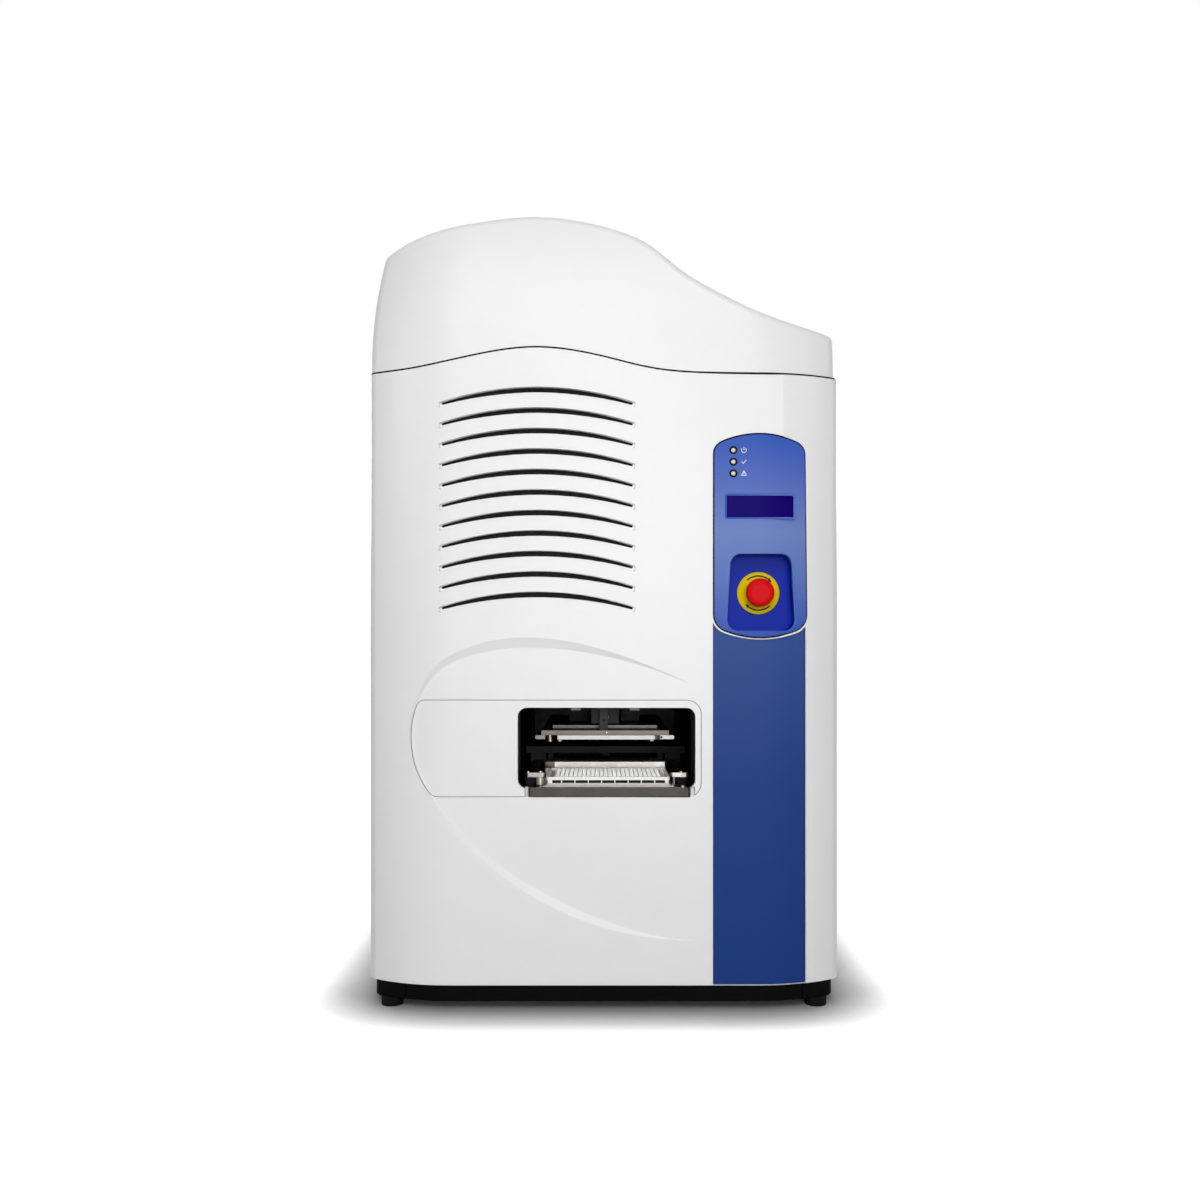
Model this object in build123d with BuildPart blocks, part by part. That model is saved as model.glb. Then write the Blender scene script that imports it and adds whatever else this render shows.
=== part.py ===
"""Bench-top acoustic liquid handling robot: moulded enclosure, chassis, and two plate stages behind its slot.

Millimetres. X is to the right seen from the front, Y goes back into the machine, Z is up, and the origin is
the middle of the footprint on the bench. Depths are measured back from the flat of the front face.
"""

import os
from math import radians, sin, sqrt

from build123d import *

os.makedirs("parts", exist_ok=True)

# ---------------------------------------------------------------- driving dimensions
WIDTH = 480.0
DEPTH = 680.0
HEIGHT = 805.0
COVER_HEIGHT = 166.0
SEAM = HEIGHT - COVER_HEIGHT

# plan outline: a flat front, a wide sweep at each side, then a tight corner into the side walls
FRONT_FLAT_HALF = 155.0
SWEEP_ANGLE = 32.0
CORNER_RADIUS = 16.0

# base
FOOT_HEIGHT = 7.0
FOOT_DIAMETER = 22.0
FOOT_SOCKET = 2.0
FOOT_X = WIDTH / 2 - 23.5
FOOT_DEPTH = 28.0
SKIRT_TOP = 25.0
SKIRT_INSET = 6.0
SKIRT_WALL = 5.0
BASE_PLATE = 6.0
CORNER_BLOCK_X = WIDTH / 2 - 39.0
CORNER_BLOCK_LENGTH = 62.0
SEAM_GAP = 1.0

# walls of the enclosure
FASCIA_WALL = 5.0
FASCIA_WRAP = 56.0
FASCIA_LIP = 3.0
FACET_LEFT = 96.0
FACET_RIGHT = 180.0
PANEL_SET = 0.5
STRIPE_SET = 2.0
SHEET = 2.0
REAR_RETURN = 16.0
REAR_RECESS = 14.0
COVER_WALL = 4.0
COVER_GAP = 2.0
COVER_LEAN_RADIUS = 620.0
COVER_LEAN_START = SEAM + 1.0
COVER_INSET = 1.5
COVER_SHIFT = -1.5
COVER_RIM_RADIUS = 7.0

# louvred vents in the fascia
VENT_X = -67.0
VENT_HALF = 98.0
VENT_RISE = 15.5
VENT_TOP = SEAM - 16.5
VENT_FOOT = 417.5
VENT_PITCH = 20.5
VENT_COUNT = int((VENT_TOP - VENT_FOOT) / VENT_PITCH) + 1
VENT_SLOT = 5.6
VENT_LEDGE = 2.2
VENT_LEDGE_DEPTH = 2.4

# plate access: the bezel let into the fascia and the window in it
BEZEL_TOP = 311.5
BEZEL_BOTTOM = 215.0
BEZEL_RIGHT = 97.0
BEZEL_CORNER = 14.0
BEZEL_GAP = 0.5
BEZEL_FLANGE = 2.0
BEZEL_FLANGE_REACH = 5.0
WINDOW_X = 2.5
WINDOW_WIDTH = 178.0
WINDOW_BOTTOM = 223.0
WINDOW_TOP = 304.0
WINDOW_CORNER = 9.0
NOTCH_LEFT = -79.5
NOTCH_RIGHT = 91.0
NOTCH_TOP = 224.6
DISH_DEPTH = 3.0
DISH_END = 89.0
DISH_FULL = -75.0

# control panel and the stripe under it
PANEL_LEFT = 110.0
PANEL_RIGHT = 202.0
PANEL_TOP = SEAM - 61.0
PANEL_BOTTOM = PANEL_TOP - 203.0
PANEL_SHOULDER = 12.0
PANEL_GAP = 0.9
PANEL_RIM = 1.6
PANEL_FLARE = 2.2
STRIPE_GAP = 0.5
STRIPE_THICK = 1.8
DISPLAY_X = 156.4
DISPLAY_Z = PANEL_TOP - 72.3
DISPLAY_WIDTH = 67.5
DISPLAY_HEIGHT = 22.0
DISPLAY_FRAME = 1.6
LED_X = 129.5
LED_TOP = PANEL_TOP - 16.0
LED_PITCH = 11.6
LED_HOLE = 6.0
ESTOP_X = 157.4
ESTOP_Z = PANEL_BOTTOM + 44.8
ESTOP_POCKET = 24.0
ESTOP_HEAD = 28.5
ESTOP_FACE = 4.0
ESTOP_DISH = 9.5
ESTOP_LEGEND = 43.0
ESTOP_BUSH = 22.0
ESTOP_STEM = 12.0

# chassis
TUBE = 25.0
TUBE_WALL = 2.5
POST_X = WIDTH / 2 - 35.0
POST_DEPTH = 72.5
POST_TOP = SEAM - 9.0
DECK_TOP = 196.0
DECK_THICK = 12.0
DECK_HALF = POST_X - 15.0
DECK_FRONT = 60.0
DECK_REAR = 498.0

# stages
STAGE_X = 2.5
TRAY_TOP = 221.5
TRAY_THICK = 6.3
TRAY_HALF = 68.5
CARRIAGE_DEPTH = (225.0, 345.0)
TRAY_REAR = CARRIAGE_DEPTH[1]
TRAY_BAR_TOP = 223.8
TRAY_BAR_X = 5.2
TRAY_BAR_HALF = 80.6
PLATE_X = 4.3
PLATE_FRONT = 16.0
PLATE_LENGTH = 127.76
PLATE_WIDTH = 85.48
PLATE_HEIGHT = 10.5
PLATE_SEAT = 1.0
WELL_PITCH = 9.0
WELL_SIDE = 7.2
WELL_DEPTH = 8.6
SOURCE_RAIL_HALF = 80.5
SOURCE_RAIL_TOP = 228.0
SOURCE_SCREW_Z = 205.5
SOURCE_SCREW = 10.0
BRIDGE_Z = 306.0
BRIDGE_THICK = 8.0
BRIDGE_FRONT = 55.0
BRIDGE_REAR = 500.0
UPPER_X = 1.5
UPPER_RAIL_HALF = 31.0
UPPER_PLATE_Z = 270.0
UPPER_PLATE_THICK = 5.0
UPPER_PLATE_HALF = 68.5
UPPER_FRONT = 84.0
UPPER_SCREW_Z = 288.0
UPPER_SCREW = 8.0
RUN_CLEAR = 0.3
SLIDE_CLEAR = 0.2

# door
DOOR_DEPTH = 8.0
DOOR_THICK = 2.5
DOOR_HALF = 94.5
DOOR_BOTTOM = WINDOW_TOP + 2.0
DOOR_HEIGHT = 84.0

# rear
FAN_SIZE = 80.0
FAN_THICK = 25.0
FAN_BORE = 76.0
FAN_X = 62.0
FAN_Z = SEAM - 119.0

# ---------------------------------------------------------------- derived
FRONT = -DEPTH / 2
BACK = DEPTH / 2
HALF = WIDTH / 2
SWEEP = radians(SWEEP_ANGLE)
SWEEP_RADIUS = (HALF - FRONT_FLAT_HALF - CORNER_RADIUS * (1 - sin(SWEEP))) / sin(SWEEP)
TRAY_BOTTOM = TRAY_TOP - TRAY_THICK
SKIRT_BOTTOM = FOOT_HEIGHT
BASE_TOP = SKIRT_TOP
PLATE_Z = TRAY_TOP + PLATE_SEAT
DOOR_TOP = DOOR_BOTTOM + DOOR_HEIGHT
PLATE_MID = PLATE_FRONT + PLATE_WIDTH / 2
WIDE = 2 * WIDTH
REAR_FACE = BACK - REAR_RECESS


def behind(depth):
    """Y of a point this far behind the flat of the front face."""
    return FRONT + depth


def save(part, name):
    part.label = name
    export_step(part, f"parts/{name}.step")


def block(x, depth, z, mode=Mode.ADD):
    """A box from its lowest to its highest x, depth and z, in the part that is being built."""
    with Locations(((x[0] + x[1]) / 2, behind((depth[0] + depth[1]) / 2), (z[0] + z[1]) / 2)):
        Box(x[1] - x[0], depth[1] - depth[0], z[1] - z[0], mode=mode)


def plan_outline(inset=0.0, lean=0.0):
    """The outline in plan. inset thins it evenly, and lean moves its walls in but keeps each radius."""
    front, back = FRONT + inset + lean, BACK - inset - lean
    side = HALF - inset - lean
    flat = FRONT_FLAT_HALF - lean
    corner = CORNER_RADIUS - inset
    with BuildLine() as outline:
        sweep = JernArc((flat, front), (1, 0), SWEEP_RADIUS - inset, SWEEP_ANGLE)
        tight = JernArc(sweep @ 1, sweep % 1, corner, 90 - SWEEP_ANGLE)
        wall = Line(tight @ 1, (side, back - corner))
        JernArc(wall @ 1, (0, 1), corner, 90)
        mirror(about=Plane.YZ)
        Line((-flat, front), (flat, front))
        Line((corner - side, back), (side - corner, back))
    return outline.edges()


def plan_ring(outer, inner):
    """The band in plan between two insets of the outline."""
    with BuildSketch() as ring:
        make_face(plan_outline(outer))
        make_face(plan_outline(inner), mode=Mode.SUBTRACT)
    return ring.sketch


def seam_points(rise):
    """The seam under the top cover, in front view: level at both sides, with a hump left of the middle."""
    level = [(-270, 6), (-190, 6.8), (-142, 16), (-67, 26.5), (8, 15), (53, 4.7), (120, 0.3), (270, 0)]
    return [(x, SEAM + z + rise) for x, z in level]


def below_seam(rise):
    """Everything under the seam line, as a face in the XZ plane."""
    with BuildSketch(Plane.XZ) as region:
        with BuildLine():
            seam = Spline(*seam_points(rise), tangents=((1, 0), (1, 0)))
            right_end, left_end = (WIDE, SEAM + rise), (-WIDE, SEAM + 6 + rise)
            Polyline(seam @ 1, right_end, (WIDE, -10), (-WIDE, -10), left_end, seam @ 0)
        make_face()
    return region.sketch


def cover_profile(rise, drop):
    """The top cover in front view, from the seam up to its wave."""
    crest = [(-262, 70), (-209, 28), (-134, 7.1), (-67, 0), (1, 11), (46, 30.6), (76, 56.1), (121, 84.3),
             (166, 105.5), (226, 120), (262, 126)]
    with BuildSketch(Plane.XZ) as region:
        with BuildLine():
            seam = Spline(*seam_points(rise), tangents=((1, 0), (1, 0)))
            wave = Spline(*[(x, HEIGHT - fall - drop) for x, fall in crest])
            Line(seam @ 0, wave @ 0)
            Line(seam @ 1, wave @ 1)
        make_face()
    return region.sketch


def bezel_outline(grow=0.0):
    """The access bezel's outline in front view: square to the right, and a leaning arc at its left end."""
    with BuildSketch(Plane.XZ) as region:
        with BuildLine():
            end = ThreePointArc((-172, BEZEL_BOTTOM), (-193.6, 265), (-186, BEZEL_TOP))
            Polyline(end @ 1, (BEZEL_RIGHT, BEZEL_TOP), (BEZEL_RIGHT, BEZEL_BOTTOM), end @ 0)
        make_face()
        fillet(region.vertices().group_by(Axis.X)[-1], BEZEL_CORNER)
        fillet(region.vertices().group_by(Axis.X)[0], 9)
        foot = region.vertices().group_by(Axis.Y)[0].sort_by(Axis.X)[0]
        fillet(foot, 9)
        if grow:
            offset(amount=grow)
    return region.sketch


def panel_outline(grow=0.0):
    """The control panel's outline in front view, with its ends bowed."""
    left, right = PANEL_LEFT - grow, PANEL_RIGHT + grow
    top, bottom = PANEL_TOP + grow, PANEL_BOTTOM - grow
    foot = right + PANEL_FLARE
    middle = (left + right) / 2
    with BuildSketch(Plane.XZ) as region:
        with BuildLine():
            high, low = top - PANEL_SHOULDER, bottom + PANEL_SHOULDER
            crown = ThreePointArc((left, high), (middle, top), (right, high))
            chin = ThreePointArc((foot, low), (middle, bottom), (left, low))
            Line(crown @ 1, chin @ 0)
            Line(chin @ 1, crown @ 0)
        make_face()
        fillet(region.vertices().group_by(Axis.Y)[-1], 13 + grow)
        fillet(region.vertices().group_by(Axis.Y)[0], 17 + grow)
    return region.sketch


def dish_cutter():
    """What is scooped out round the access bezel: a sloping wall to a floor that fades out to the right."""
    outer = [(DISH_END, 326.5), (-14, 366), (-129, 367), (-179, 337), (-200, 284)]
    outer += [(-176.5, 214.5), (-129, 158.2), (-29, 94.5), (DISH_END, 71.7)]
    inner = [(DISH_END, 322), (-18, 341), (-121, 341), (-168, 326), (-193.5, 284)]
    inner += [(-171.5, 218), (-119.5, 169.5), (-20, 118), (DISH_END, 77)]
    rims = []
    for points, depth in ((outer, 0), (inner, 3 * DISH_DEPTH)):
        with BuildSketch(Plane.XZ.offset(-behind(depth))) as rim:
            with BuildLine():
                edge = Spline(*points)
                Line(edge @ 1, edge @ 0)
            make_face()
        rims.append(rim.sketch.face())
    with BuildPart() as scoop:
        loft(rims, ruled=True)
        with BuildSketch():
            add(floor_region())
        extrude(amount=HEIGHT, mode=Mode.INTERSECT)
    return scoop.part


def floor_region():
    """In plan, everything in front of the dish's floor."""
    with BuildSketch() as region:
        with BuildLine():
            run = DISH_FULL - DISH_END
            radius = (run**2 + DISH_DEPTH**2) / (2 * DISH_DEPTH)
            sag = radius - sqrt(radius**2 - (run / 2) ** 2)
            halfway = (DISH_END + run / 2, FRONT + DISH_DEPTH - sag)
            fade = ThreePointArc((DISH_END, FRONT), halfway, (DISH_FULL, FRONT + DISH_DEPTH))
            flat = Line(fade @ 1, (-FRONT_FLAT_HALF, FRONT + DISH_DEPTH))
            turn = JernArc(flat @ 1, (-1, 0), SWEEP_RADIUS - DISH_DEPTH, -24)
            Polyline(turn @ 1, (-WIDTH, FRONT + 60), (-WIDTH, FRONT - 20), (DISH_END, FRONT - 20), fade @ 0)
        make_face()
    return region.sketch


def front_slice(outline, inset_front, inset_back):
    """The piece of the fascia's wall inside an outline in front view, between two insets of the plan."""
    with BuildPart() as piece:
        with BuildSketch():
            add(plan_ring(inset_front, inset_back))
            with Locations((0, FRONT)):
                Rectangle(WIDE, 2 * FASCIA_WRAP, mode=Mode.INTERSECT)
        extrude(amount=HEIGHT)
        extrude(outline, amount=WIDE, both=True, mode=Mode.INTERSECT)
    return piece.part


def window_outline(x, z, width, height, corner, grow=0.0):
    """A rounded rectangle in front view."""
    with BuildSketch(Plane.XZ) as region:
        with Locations((x, z)):
            RectangleRounded(width + 2 * grow, height + 2 * grow, corner + grow)
    return region.sketch


def vent_slots(recess):
    """The louvres in front view: each is an arc, wide in its recess, and narrower where it goes through."""
    half = VENT_HALF if recess else VENT_HALF - VENT_LEDGE
    foot = VENT_SLOT / 2 if recess else VENT_LEDGE / 2 - VENT_SLOT / 4
    middle = VENT_SLOT / 2 if recess else VENT_SLOT / 2 - 0.2
    with BuildSketch() as slot:
        with BuildLine():
            shoulder = VENT_SLOT / 2 - VENT_RISE
            upper = ThreePointArc((-half, shoulder), (0, middle), (half, shoulder))
            lower = ThreePointArc((half, -foot - VENT_RISE), (0, -middle), (-half, -foot - VENT_RISE))
            Line(upper @ 1, lower @ 0)
            Line(lower @ 1, upper @ 0)
        make_face()
        fillet(slot.vertices(), 1.2)
    with BuildSketch(Plane.XZ) as slots:
        with Locations(*[(VENT_X, VENT_TOP - row * VENT_PITCH) for row in range(VENT_COUNT)]):
            add(slot.sketch)
    return slots.sketch


def pocket_outline(grow=0.0):
    """The stop button's pocket in front view, a little wider at its foot."""
    with BuildSketch(Plane.XZ) as region:
        with BuildLine():
            foot, top = PANEL_BOTTOM + 6, PANEL_BOTTOM + 83.5
            wide = (PANEL_LEFT + 12.5, foot), (PANEL_RIGHT - 9.5, foot)
            narrow = (PANEL_RIGHT - 14, top), (PANEL_LEFT + 17, top)
            Polyline(*wide, *narrow, close=True)
        make_face()
        fillet(region.vertices(), 11)
        if grow:
            offset(amount=grow)
    return region.sketch


def pierce(outline, depth_from, depth_to, mode=Mode.SUBTRACT):
    """Extrude an outline drawn in front view between two depths, in the part that is being built."""
    placed = outline.moved(Location((0, behind(depth_to), 0)))
    extrude(placed, amount=depth_to - depth_from, dir=(0, -1, 0), mode=mode)


def rod(x, z, depth, diameter, mode=Mode.ADD):
    """A round bar running back into the machine, in the part that is being built."""
    with Locations((x, behind((depth[0] + depth[1]) / 2), z)):
        Cylinder(diameter / 2, depth[1] - depth[0], rotation=(90, 0, 0), mode=mode)


def post(x, depth, z, diameter, mode=Mode.ADD):
    """A round bar standing up, in the part that is being built."""
    with Locations((x, behind(depth), (z[0] + z[1]) / 2)):
        Cylinder(diameter / 2, z[1] - z[0], mode=mode)


# ---------------------------------------------------------------- base
corner_spots = [(sx, sy) for sx in (-1, 1) for sy in (-1, 1)]

with BuildPart() as base_plate:
    with BuildSketch(Plane.XY.offset(BASE_TOP - BASE_PLATE)):
        make_face(plan_outline(SKIRT_INSET + SKIRT_WALL))
    extrude(amount=BASE_PLATE)
save(base_plate.part, "base_plate")

with BuildPart() as base_skirt:
    with BuildSketch(Plane.XY.offset(SKIRT_BOTTOM + 2)):
        add(plan_ring(SKIRT_INSET, SKIRT_INSET + SKIRT_WALL))
        for sx, sy in corner_spots:
            with Locations((sx * HALF, sy * DEPTH / 2)):
                notch = 2 * (HALF - CORNER_BLOCK_X + SEAM_GAP)
                Rectangle(notch, 2 * (CORNER_BLOCK_LENGTH + SEAM_GAP), mode=Mode.SUBTRACT)
    extrude(amount=SKIRT_TOP - SKIRT_BOTTOM - 2)
save(base_skirt.part, "base_skirt")

with BuildPart() as base_corners:
    with BuildSketch(Plane.XY.offset(SKIRT_BOTTOM)):
        make_face(plan_outline(SKIRT_INSET))
        with Locations(*[(sx * HALF, sy * DEPTH / 2) for sx, sy in corner_spots]):
            Rectangle(2 * (HALF - CORNER_BLOCK_X), 2 * CORNER_BLOCK_LENGTH, mode=Mode.INTERSECT)
    extrude(amount=SKIRT_TOP - SKIRT_BOTTOM)
    chamfer(base_corners.faces().sort_by(Axis.Z)[0:4].edges(), 2.5)
    add(base_plate.part, mode=Mode.SUBTRACT)
    for sx, sy in corner_spots:
        with Locations((sx * FOOT_X, sy * (DEPTH / 2 - FOOT_DEPTH), FOOT_HEIGHT + FOOT_SOCKET / 2)):
            Cylinder(FOOT_DIAMETER / 2, FOOT_SOCKET, mode=Mode.SUBTRACT)
save(base_corners.part, "base_corners")

with BuildPart() as feet:
    for sx, sy in corner_spots:
        with Locations((sx * FOOT_X, sy * (DEPTH / 2 - FOOT_DEPTH), (FOOT_HEIGHT + FOOT_SOCKET) / 2)):
            Cylinder(FOOT_DIAMETER / 2, FOOT_HEIGHT + FOOT_SOCKET)
save(feet.part, "feet")

# ---------------------------------------------------------------- fascia and what is let into it
FASCIA_BOTTOM = SKIRT_TOP + 1.5
scoop = dish_cutter()
WINDOW_MIDDLE = (WINDOW_BOTTOM + WINDOW_TOP) / 2
window = window_outline(WINDOW_X, WINDOW_MIDDLE, WINDOW_WIDTH, WINDOW_TOP - WINDOW_BOTTOM, WINDOW_CORNER)
FACET_DROP = SWEEP_RADIUS - sqrt(SWEEP_RADIUS**2 - (FACET_RIGHT - FRONT_FLAT_HALF) ** 2)
STRIPE_TOP = PANEL_BOTTOM + 24


def stripe_outline(grow, bottom):
    """The stripe in front view, up to the rim that the fascia keeps round the control panel."""
    with BuildSketch(Plane.XZ) as region:
        with Locations(((PANEL_LEFT + PANEL_RIGHT) / 2, (bottom + STRIPE_TOP) / 2)):
            Rectangle(PANEL_RIGHT - PANEL_LEFT + 2 * grow, STRIPE_TOP - bottom)
        add(panel_outline(PANEL_GAP + PANEL_RIM + 1 - grow), mode=Mode.SUBTRACT)
    return region.sketch


with BuildPart() as front_fascia:
    with BuildSketch(Plane.XY.offset(FASCIA_BOTTOM)):
        add(plan_ring(0, FASCIA_WALL))
        with Locations((0, FRONT)):
            Rectangle(WIDE, 2 * FASCIA_WRAP, mode=Mode.INTERSECT)
    extrude(amount=HEIGHT)
    pierce(below_seam(-COVER_GAP / 2), -60, DEPTH, mode=Mode.INTERSECT)
    with BuildSketch(Plane.XY.offset(BASE_TOP)):
        add(plan_ring(FASCIA_WALL, CORNER_RADIUS - 1))
        with Locations((0, FRONT)):
            Rectangle(WIDE, 2 * FASCIA_WRAP, mode=Mode.INTERSECT)
    extrude(amount=FASCIA_LIP)
    with BuildSketch():
        with BuildLine():
            facet_end = (FACET_RIGHT, FRONT + FACET_DROP)
            Polyline((FACET_LEFT, FRONT), facet_end, (FACET_RIGHT, FRONT - 5), close=True)
        make_face()
    extrude(amount=HEIGHT, mode=Mode.SUBTRACT)
    add(front_slice(stripe_outline(1, 0), -1, STRIPE_SET + STRIPE_THICK), mode=Mode.SUBTRACT)
    add(scoop, mode=Mode.SUBTRACT)
    pierce(bezel_outline(BEZEL_GAP), -10, 20)
    pierce(panel_outline(PANEL_GAP), -10, 30)
    pierce(vent_slots(True), -1, VENT_LEDGE_DEPTH)
    pierce(vent_slots(False), -1, 16)
save(front_fascia.part, "front_fascia")

with BuildPart() as access_bezel:
    add(front_slice(bezel_outline(), 0, FASCIA_WALL))
    add(scoop, mode=Mode.SUBTRACT)
    add(front_slice(bezel_outline(BEZEL_FLANGE_REACH), FASCIA_WALL, FASCIA_WALL + BEZEL_FLANGE))
    pierce(window, -10, 30)
    block((NOTCH_LEFT, NOTCH_RIGHT), (-10, 30), (BEZEL_BOTTOM - 0.2, NOTCH_TOP), mode=Mode.SUBTRACT)
save(access_bezel.part, "access_bezel")

with BuildPart() as stripe_panel:
    stripe = stripe_outline(1 - STRIPE_GAP, FASCIA_BOTTOM + STRIPE_GAP)
    add(front_slice(stripe, STRIPE_SET, STRIPE_SET + STRIPE_THICK))
save(stripe_panel.part, "stripe_panel")

display_frame = window_outline(DISPLAY_X, DISPLAY_Z, DISPLAY_WIDTH, DISPLAY_HEIGHT, 1, DISPLAY_FRAME)
display_glass = window_outline(DISPLAY_X, DISPLAY_Z, DISPLAY_WIDTH, DISPLAY_HEIGHT, 1)
led_levels = [LED_TOP - n * LED_PITCH for n in range(3)]

with BuildPart() as control_panel:
    add(front_slice(panel_outline(), PANEL_SET, FASCIA_WALL))
    add(front_slice(panel_outline(BEZEL_FLANGE_REACH), FASCIA_WALL, FASCIA_WALL + BEZEL_FLANGE))
    pierce(pocket_outline(2.5), FASCIA_WALL + 1.5, ESTOP_POCKET + 2.5, mode=Mode.ADD)
    pierce(pocket_outline(), -10, ESTOP_POCKET)
    add(front_slice(display_frame, -1, PANEL_SET + 0.6), mode=Mode.SUBTRACT)
    pierce(display_glass, -10, 40)
    for level in led_levels:
        rod(LED_X, level, (-5, 20), LED_HOLE, mode=Mode.SUBTRACT)
    rod(ESTOP_X, ESTOP_Z, (0, 40), ESTOP_BUSH, mode=Mode.SUBTRACT)
save(control_panel.part, "control_panel")

with BuildPart() as display_module:
    add(front_slice(display_glass, PANEL_SET + 1.2, CORNER_RADIUS - 2))
    block((DISPLAY_X - 36.5, DISPLAY_X + 36.5), (13.5, 21), (DISPLAY_Z - 15, DISPLAY_Z + 15))
save(display_module.part, "display_module")

with BuildPart() as led_lenses:
    for level in led_levels:
        rod(LED_X, level, (0.1, PANEL_SET), LED_HOLE + 1.8)
        rod(LED_X, level, (PANEL_SET, 14), LED_HOLE)
save(led_lenses.part, "led_lenses")

with BuildPart() as estop_legend:
    rod(ESTOP_X, ESTOP_Z, (ESTOP_POCKET - 2, ESTOP_POCKET), ESTOP_LEGEND)
    rod(ESTOP_X, ESTOP_Z, (0, 40), ESTOP_BUSH, mode=Mode.SUBTRACT)
save(estop_legend.part, "estop_legend")

with BuildPart() as estop_bush:
    rod(ESTOP_X, ESTOP_Z, (18.5, 40), ESTOP_BUSH)
    block((ESTOP_X - 17, ESTOP_X + 17), (40, 57), (ESTOP_Z - 17, ESTOP_Z + 17))
    rod(ESTOP_X, ESTOP_Z, (0, 40), ESTOP_STEM + 2 * RUN_CLEAR, mode=Mode.SUBTRACT)
save(estop_bush.part, "estop_bush")

with BuildPart() as estop_stem:
    rod(ESTOP_X, ESTOP_Z, (ESTOP_FACE + 7, 35.5), ESTOP_STEM)
save(estop_stem.part, "estop_stem")

with BuildPart() as estop_button:
    with BuildSketch(Plane.YZ.offset(ESTOP_X)):
        with BuildLine():
            axis_y = behind(ESTOP_FACE)
            edge = ESTOP_Z + ESTOP_DISH
            Polyline((axis_y + 0.7, ESTOP_Z), (axis_y + 0.5, edge - 0.4), (axis_y, edge))
            dome = ThreePointArc((axis_y, edge), (axis_y + 0.2, edge + 1.2), (axis_y + 0.7, edge + 2.3))
            rim = ESTOP_Z + ESTOP_HEAD / 2
            lip = ThreePointArc(dome @ 1, (axis_y + 1.8, ESTOP_Z + 13.6), (axis_y + 4, rim))
            Polyline(
                lip @ 1,
                (axis_y + 6.5, rim),
                (axis_y + 10, ESTOP_Z + 10.5),
                (axis_y + 10, ESTOP_Z + ESTOP_STEM / 2 + SLIDE_CLEAR),
                (axis_y + 7, ESTOP_Z + ESTOP_STEM / 2 + SLIDE_CLEAR),
                (axis_y + 7, ESTOP_Z),
                (axis_y + 0.7, ESTOP_Z),
            )
        make_face()
    revolve(axis=Axis((ESTOP_X, 0, ESTOP_Z), (0, 1, 0)))
save(estop_button.part, "estop_button")


# ---------------------------------------------------------------- top cover, gasket and panels
def cover_form(inset, rise, drop, rim):
    """The top cover's form: walls that lean in as they climb, cut to the seam below and the wave above."""
    with BuildPart() as form:
        for z in (*[COVER_LEAN_START + rung for rung in (-10, 0, 50, 110)], HEIGHT + 5):
            climb = max(0, z - COVER_LEAN_START)
            with BuildSketch(Plane.XY.offset(z).shift_origin((COVER_SHIFT, 0, z))):
                make_face(plan_outline(inset, COVER_INSET + climb**2 / (2 * COVER_LEAN_RADIUS)))
        loft()
        pierce(cover_profile(rise, drop), -60, DEPTH + 60, mode=Mode.INTERSECT)
        top = form.faces().filter_by(lambda f: f.normal_at().Z > 0.5)
        fillet(top.edges(), rim)
    return form.part


with BuildPart() as top_cover:
    add(cover_form(0, COVER_GAP / 2, 0, COVER_RIM_RADIUS))
    add(cover_form(COVER_WALL, -10, COVER_WALL, COVER_RIM_RADIUS - COVER_WALL), mode=Mode.SUBTRACT)
save(top_cover.part, "top_cover")

GASKET_INSET = 1.5
with BuildPart() as cover_gasket:
    with BuildSketch():
        add(plan_ring(GASKET_INSET, GASKET_INSET + 6))
    extrude(amount=HEIGHT)
    pierce(below_seam(COVER_GAP / 2), -60, DEPTH + 60, mode=Mode.INTERSECT)
    pierce(below_seam(-COVER_GAP / 2), -60, DEPTH + 60)
save(cover_gasket.part, "cover_gasket")

RETURN_X = HALF - CORNER_RADIUS - REAR_RETURN
for side, name in ((-1, "left_side_panel"), (1, "right_side_panel")):
    with BuildPart() as side_panel:
        with BuildSketch(Plane.XY.offset(FASCIA_BOTTOM)):
            add(plan_ring(0, SHEET))
            with Locations((side * (RETURN_X + WIDTH) / 2, behind((FASCIA_WRAP + SEAM_GAP + WIDE) / 2))):
                Rectangle(WIDTH - RETURN_X, WIDE - FASCIA_WRAP - SEAM_GAP, mode=Mode.INTERSECT)
        extrude(amount=HEIGHT)
        pierce(below_seam(-COVER_GAP / 2), -60, DEPTH + 60, mode=Mode.INTERSECT)
    save(side_panel.part, name)

fan_spots = [(-FAN_X, FAN_Z), (FAN_X, FAN_Z)]
rear_depth = REAR_FACE - FRONT
INLET_X = -150.0
INLET_Z = 92.0
SWITCH_X = -118.0
IO_X = 120.0

with BuildPart() as rear_panel:
    block((SHEET - HALF + 2, HALF - SHEET - 2), (rear_depth - SHEET, rear_depth), (FASCIA_BOTTOM, HEIGHT))
    block((1 - RETURN_X, RETURN_X - 1), (rear_depth, DEPTH - GASKET_INSET), (FASCIA_BOTTOM, HEIGHT))
    pierce(below_seam(-COVER_GAP / 2), rear_depth - 30, DEPTH + 60, mode=Mode.INTERSECT)
    pierce(below_seam(-COVER_GAP / 2 - SHEET), rear_depth, DEPTH + 60)
    for x, z in fan_spots:
        rod(x, z, (rear_depth - 10, rear_depth + 10), FAN_BORE, mode=Mode.SUBTRACT)
    pierce(window_outline(INLET_X, INLET_Z, 27, 20, 2), rear_depth - 10, rear_depth + 10)
    pierce(window_outline(SWITCH_X, INLET_Z, 13, 20, 1), rear_depth - 10, rear_depth + 10)
    pierce(window_outline(IO_X, INLET_Z, 84, 24, 2), rear_depth - 10, rear_depth + 10)
save(rear_panel.part, "rear_panel")

# ---------------------------------------------------------------- chassis
POST_REAR_DEPTH = rear_depth - SHEET - TUBE / 2
BEARER_TOP = DECK_TOP - DECK_THICK
BEARER_REAR = DECK_REAR - 28


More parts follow.
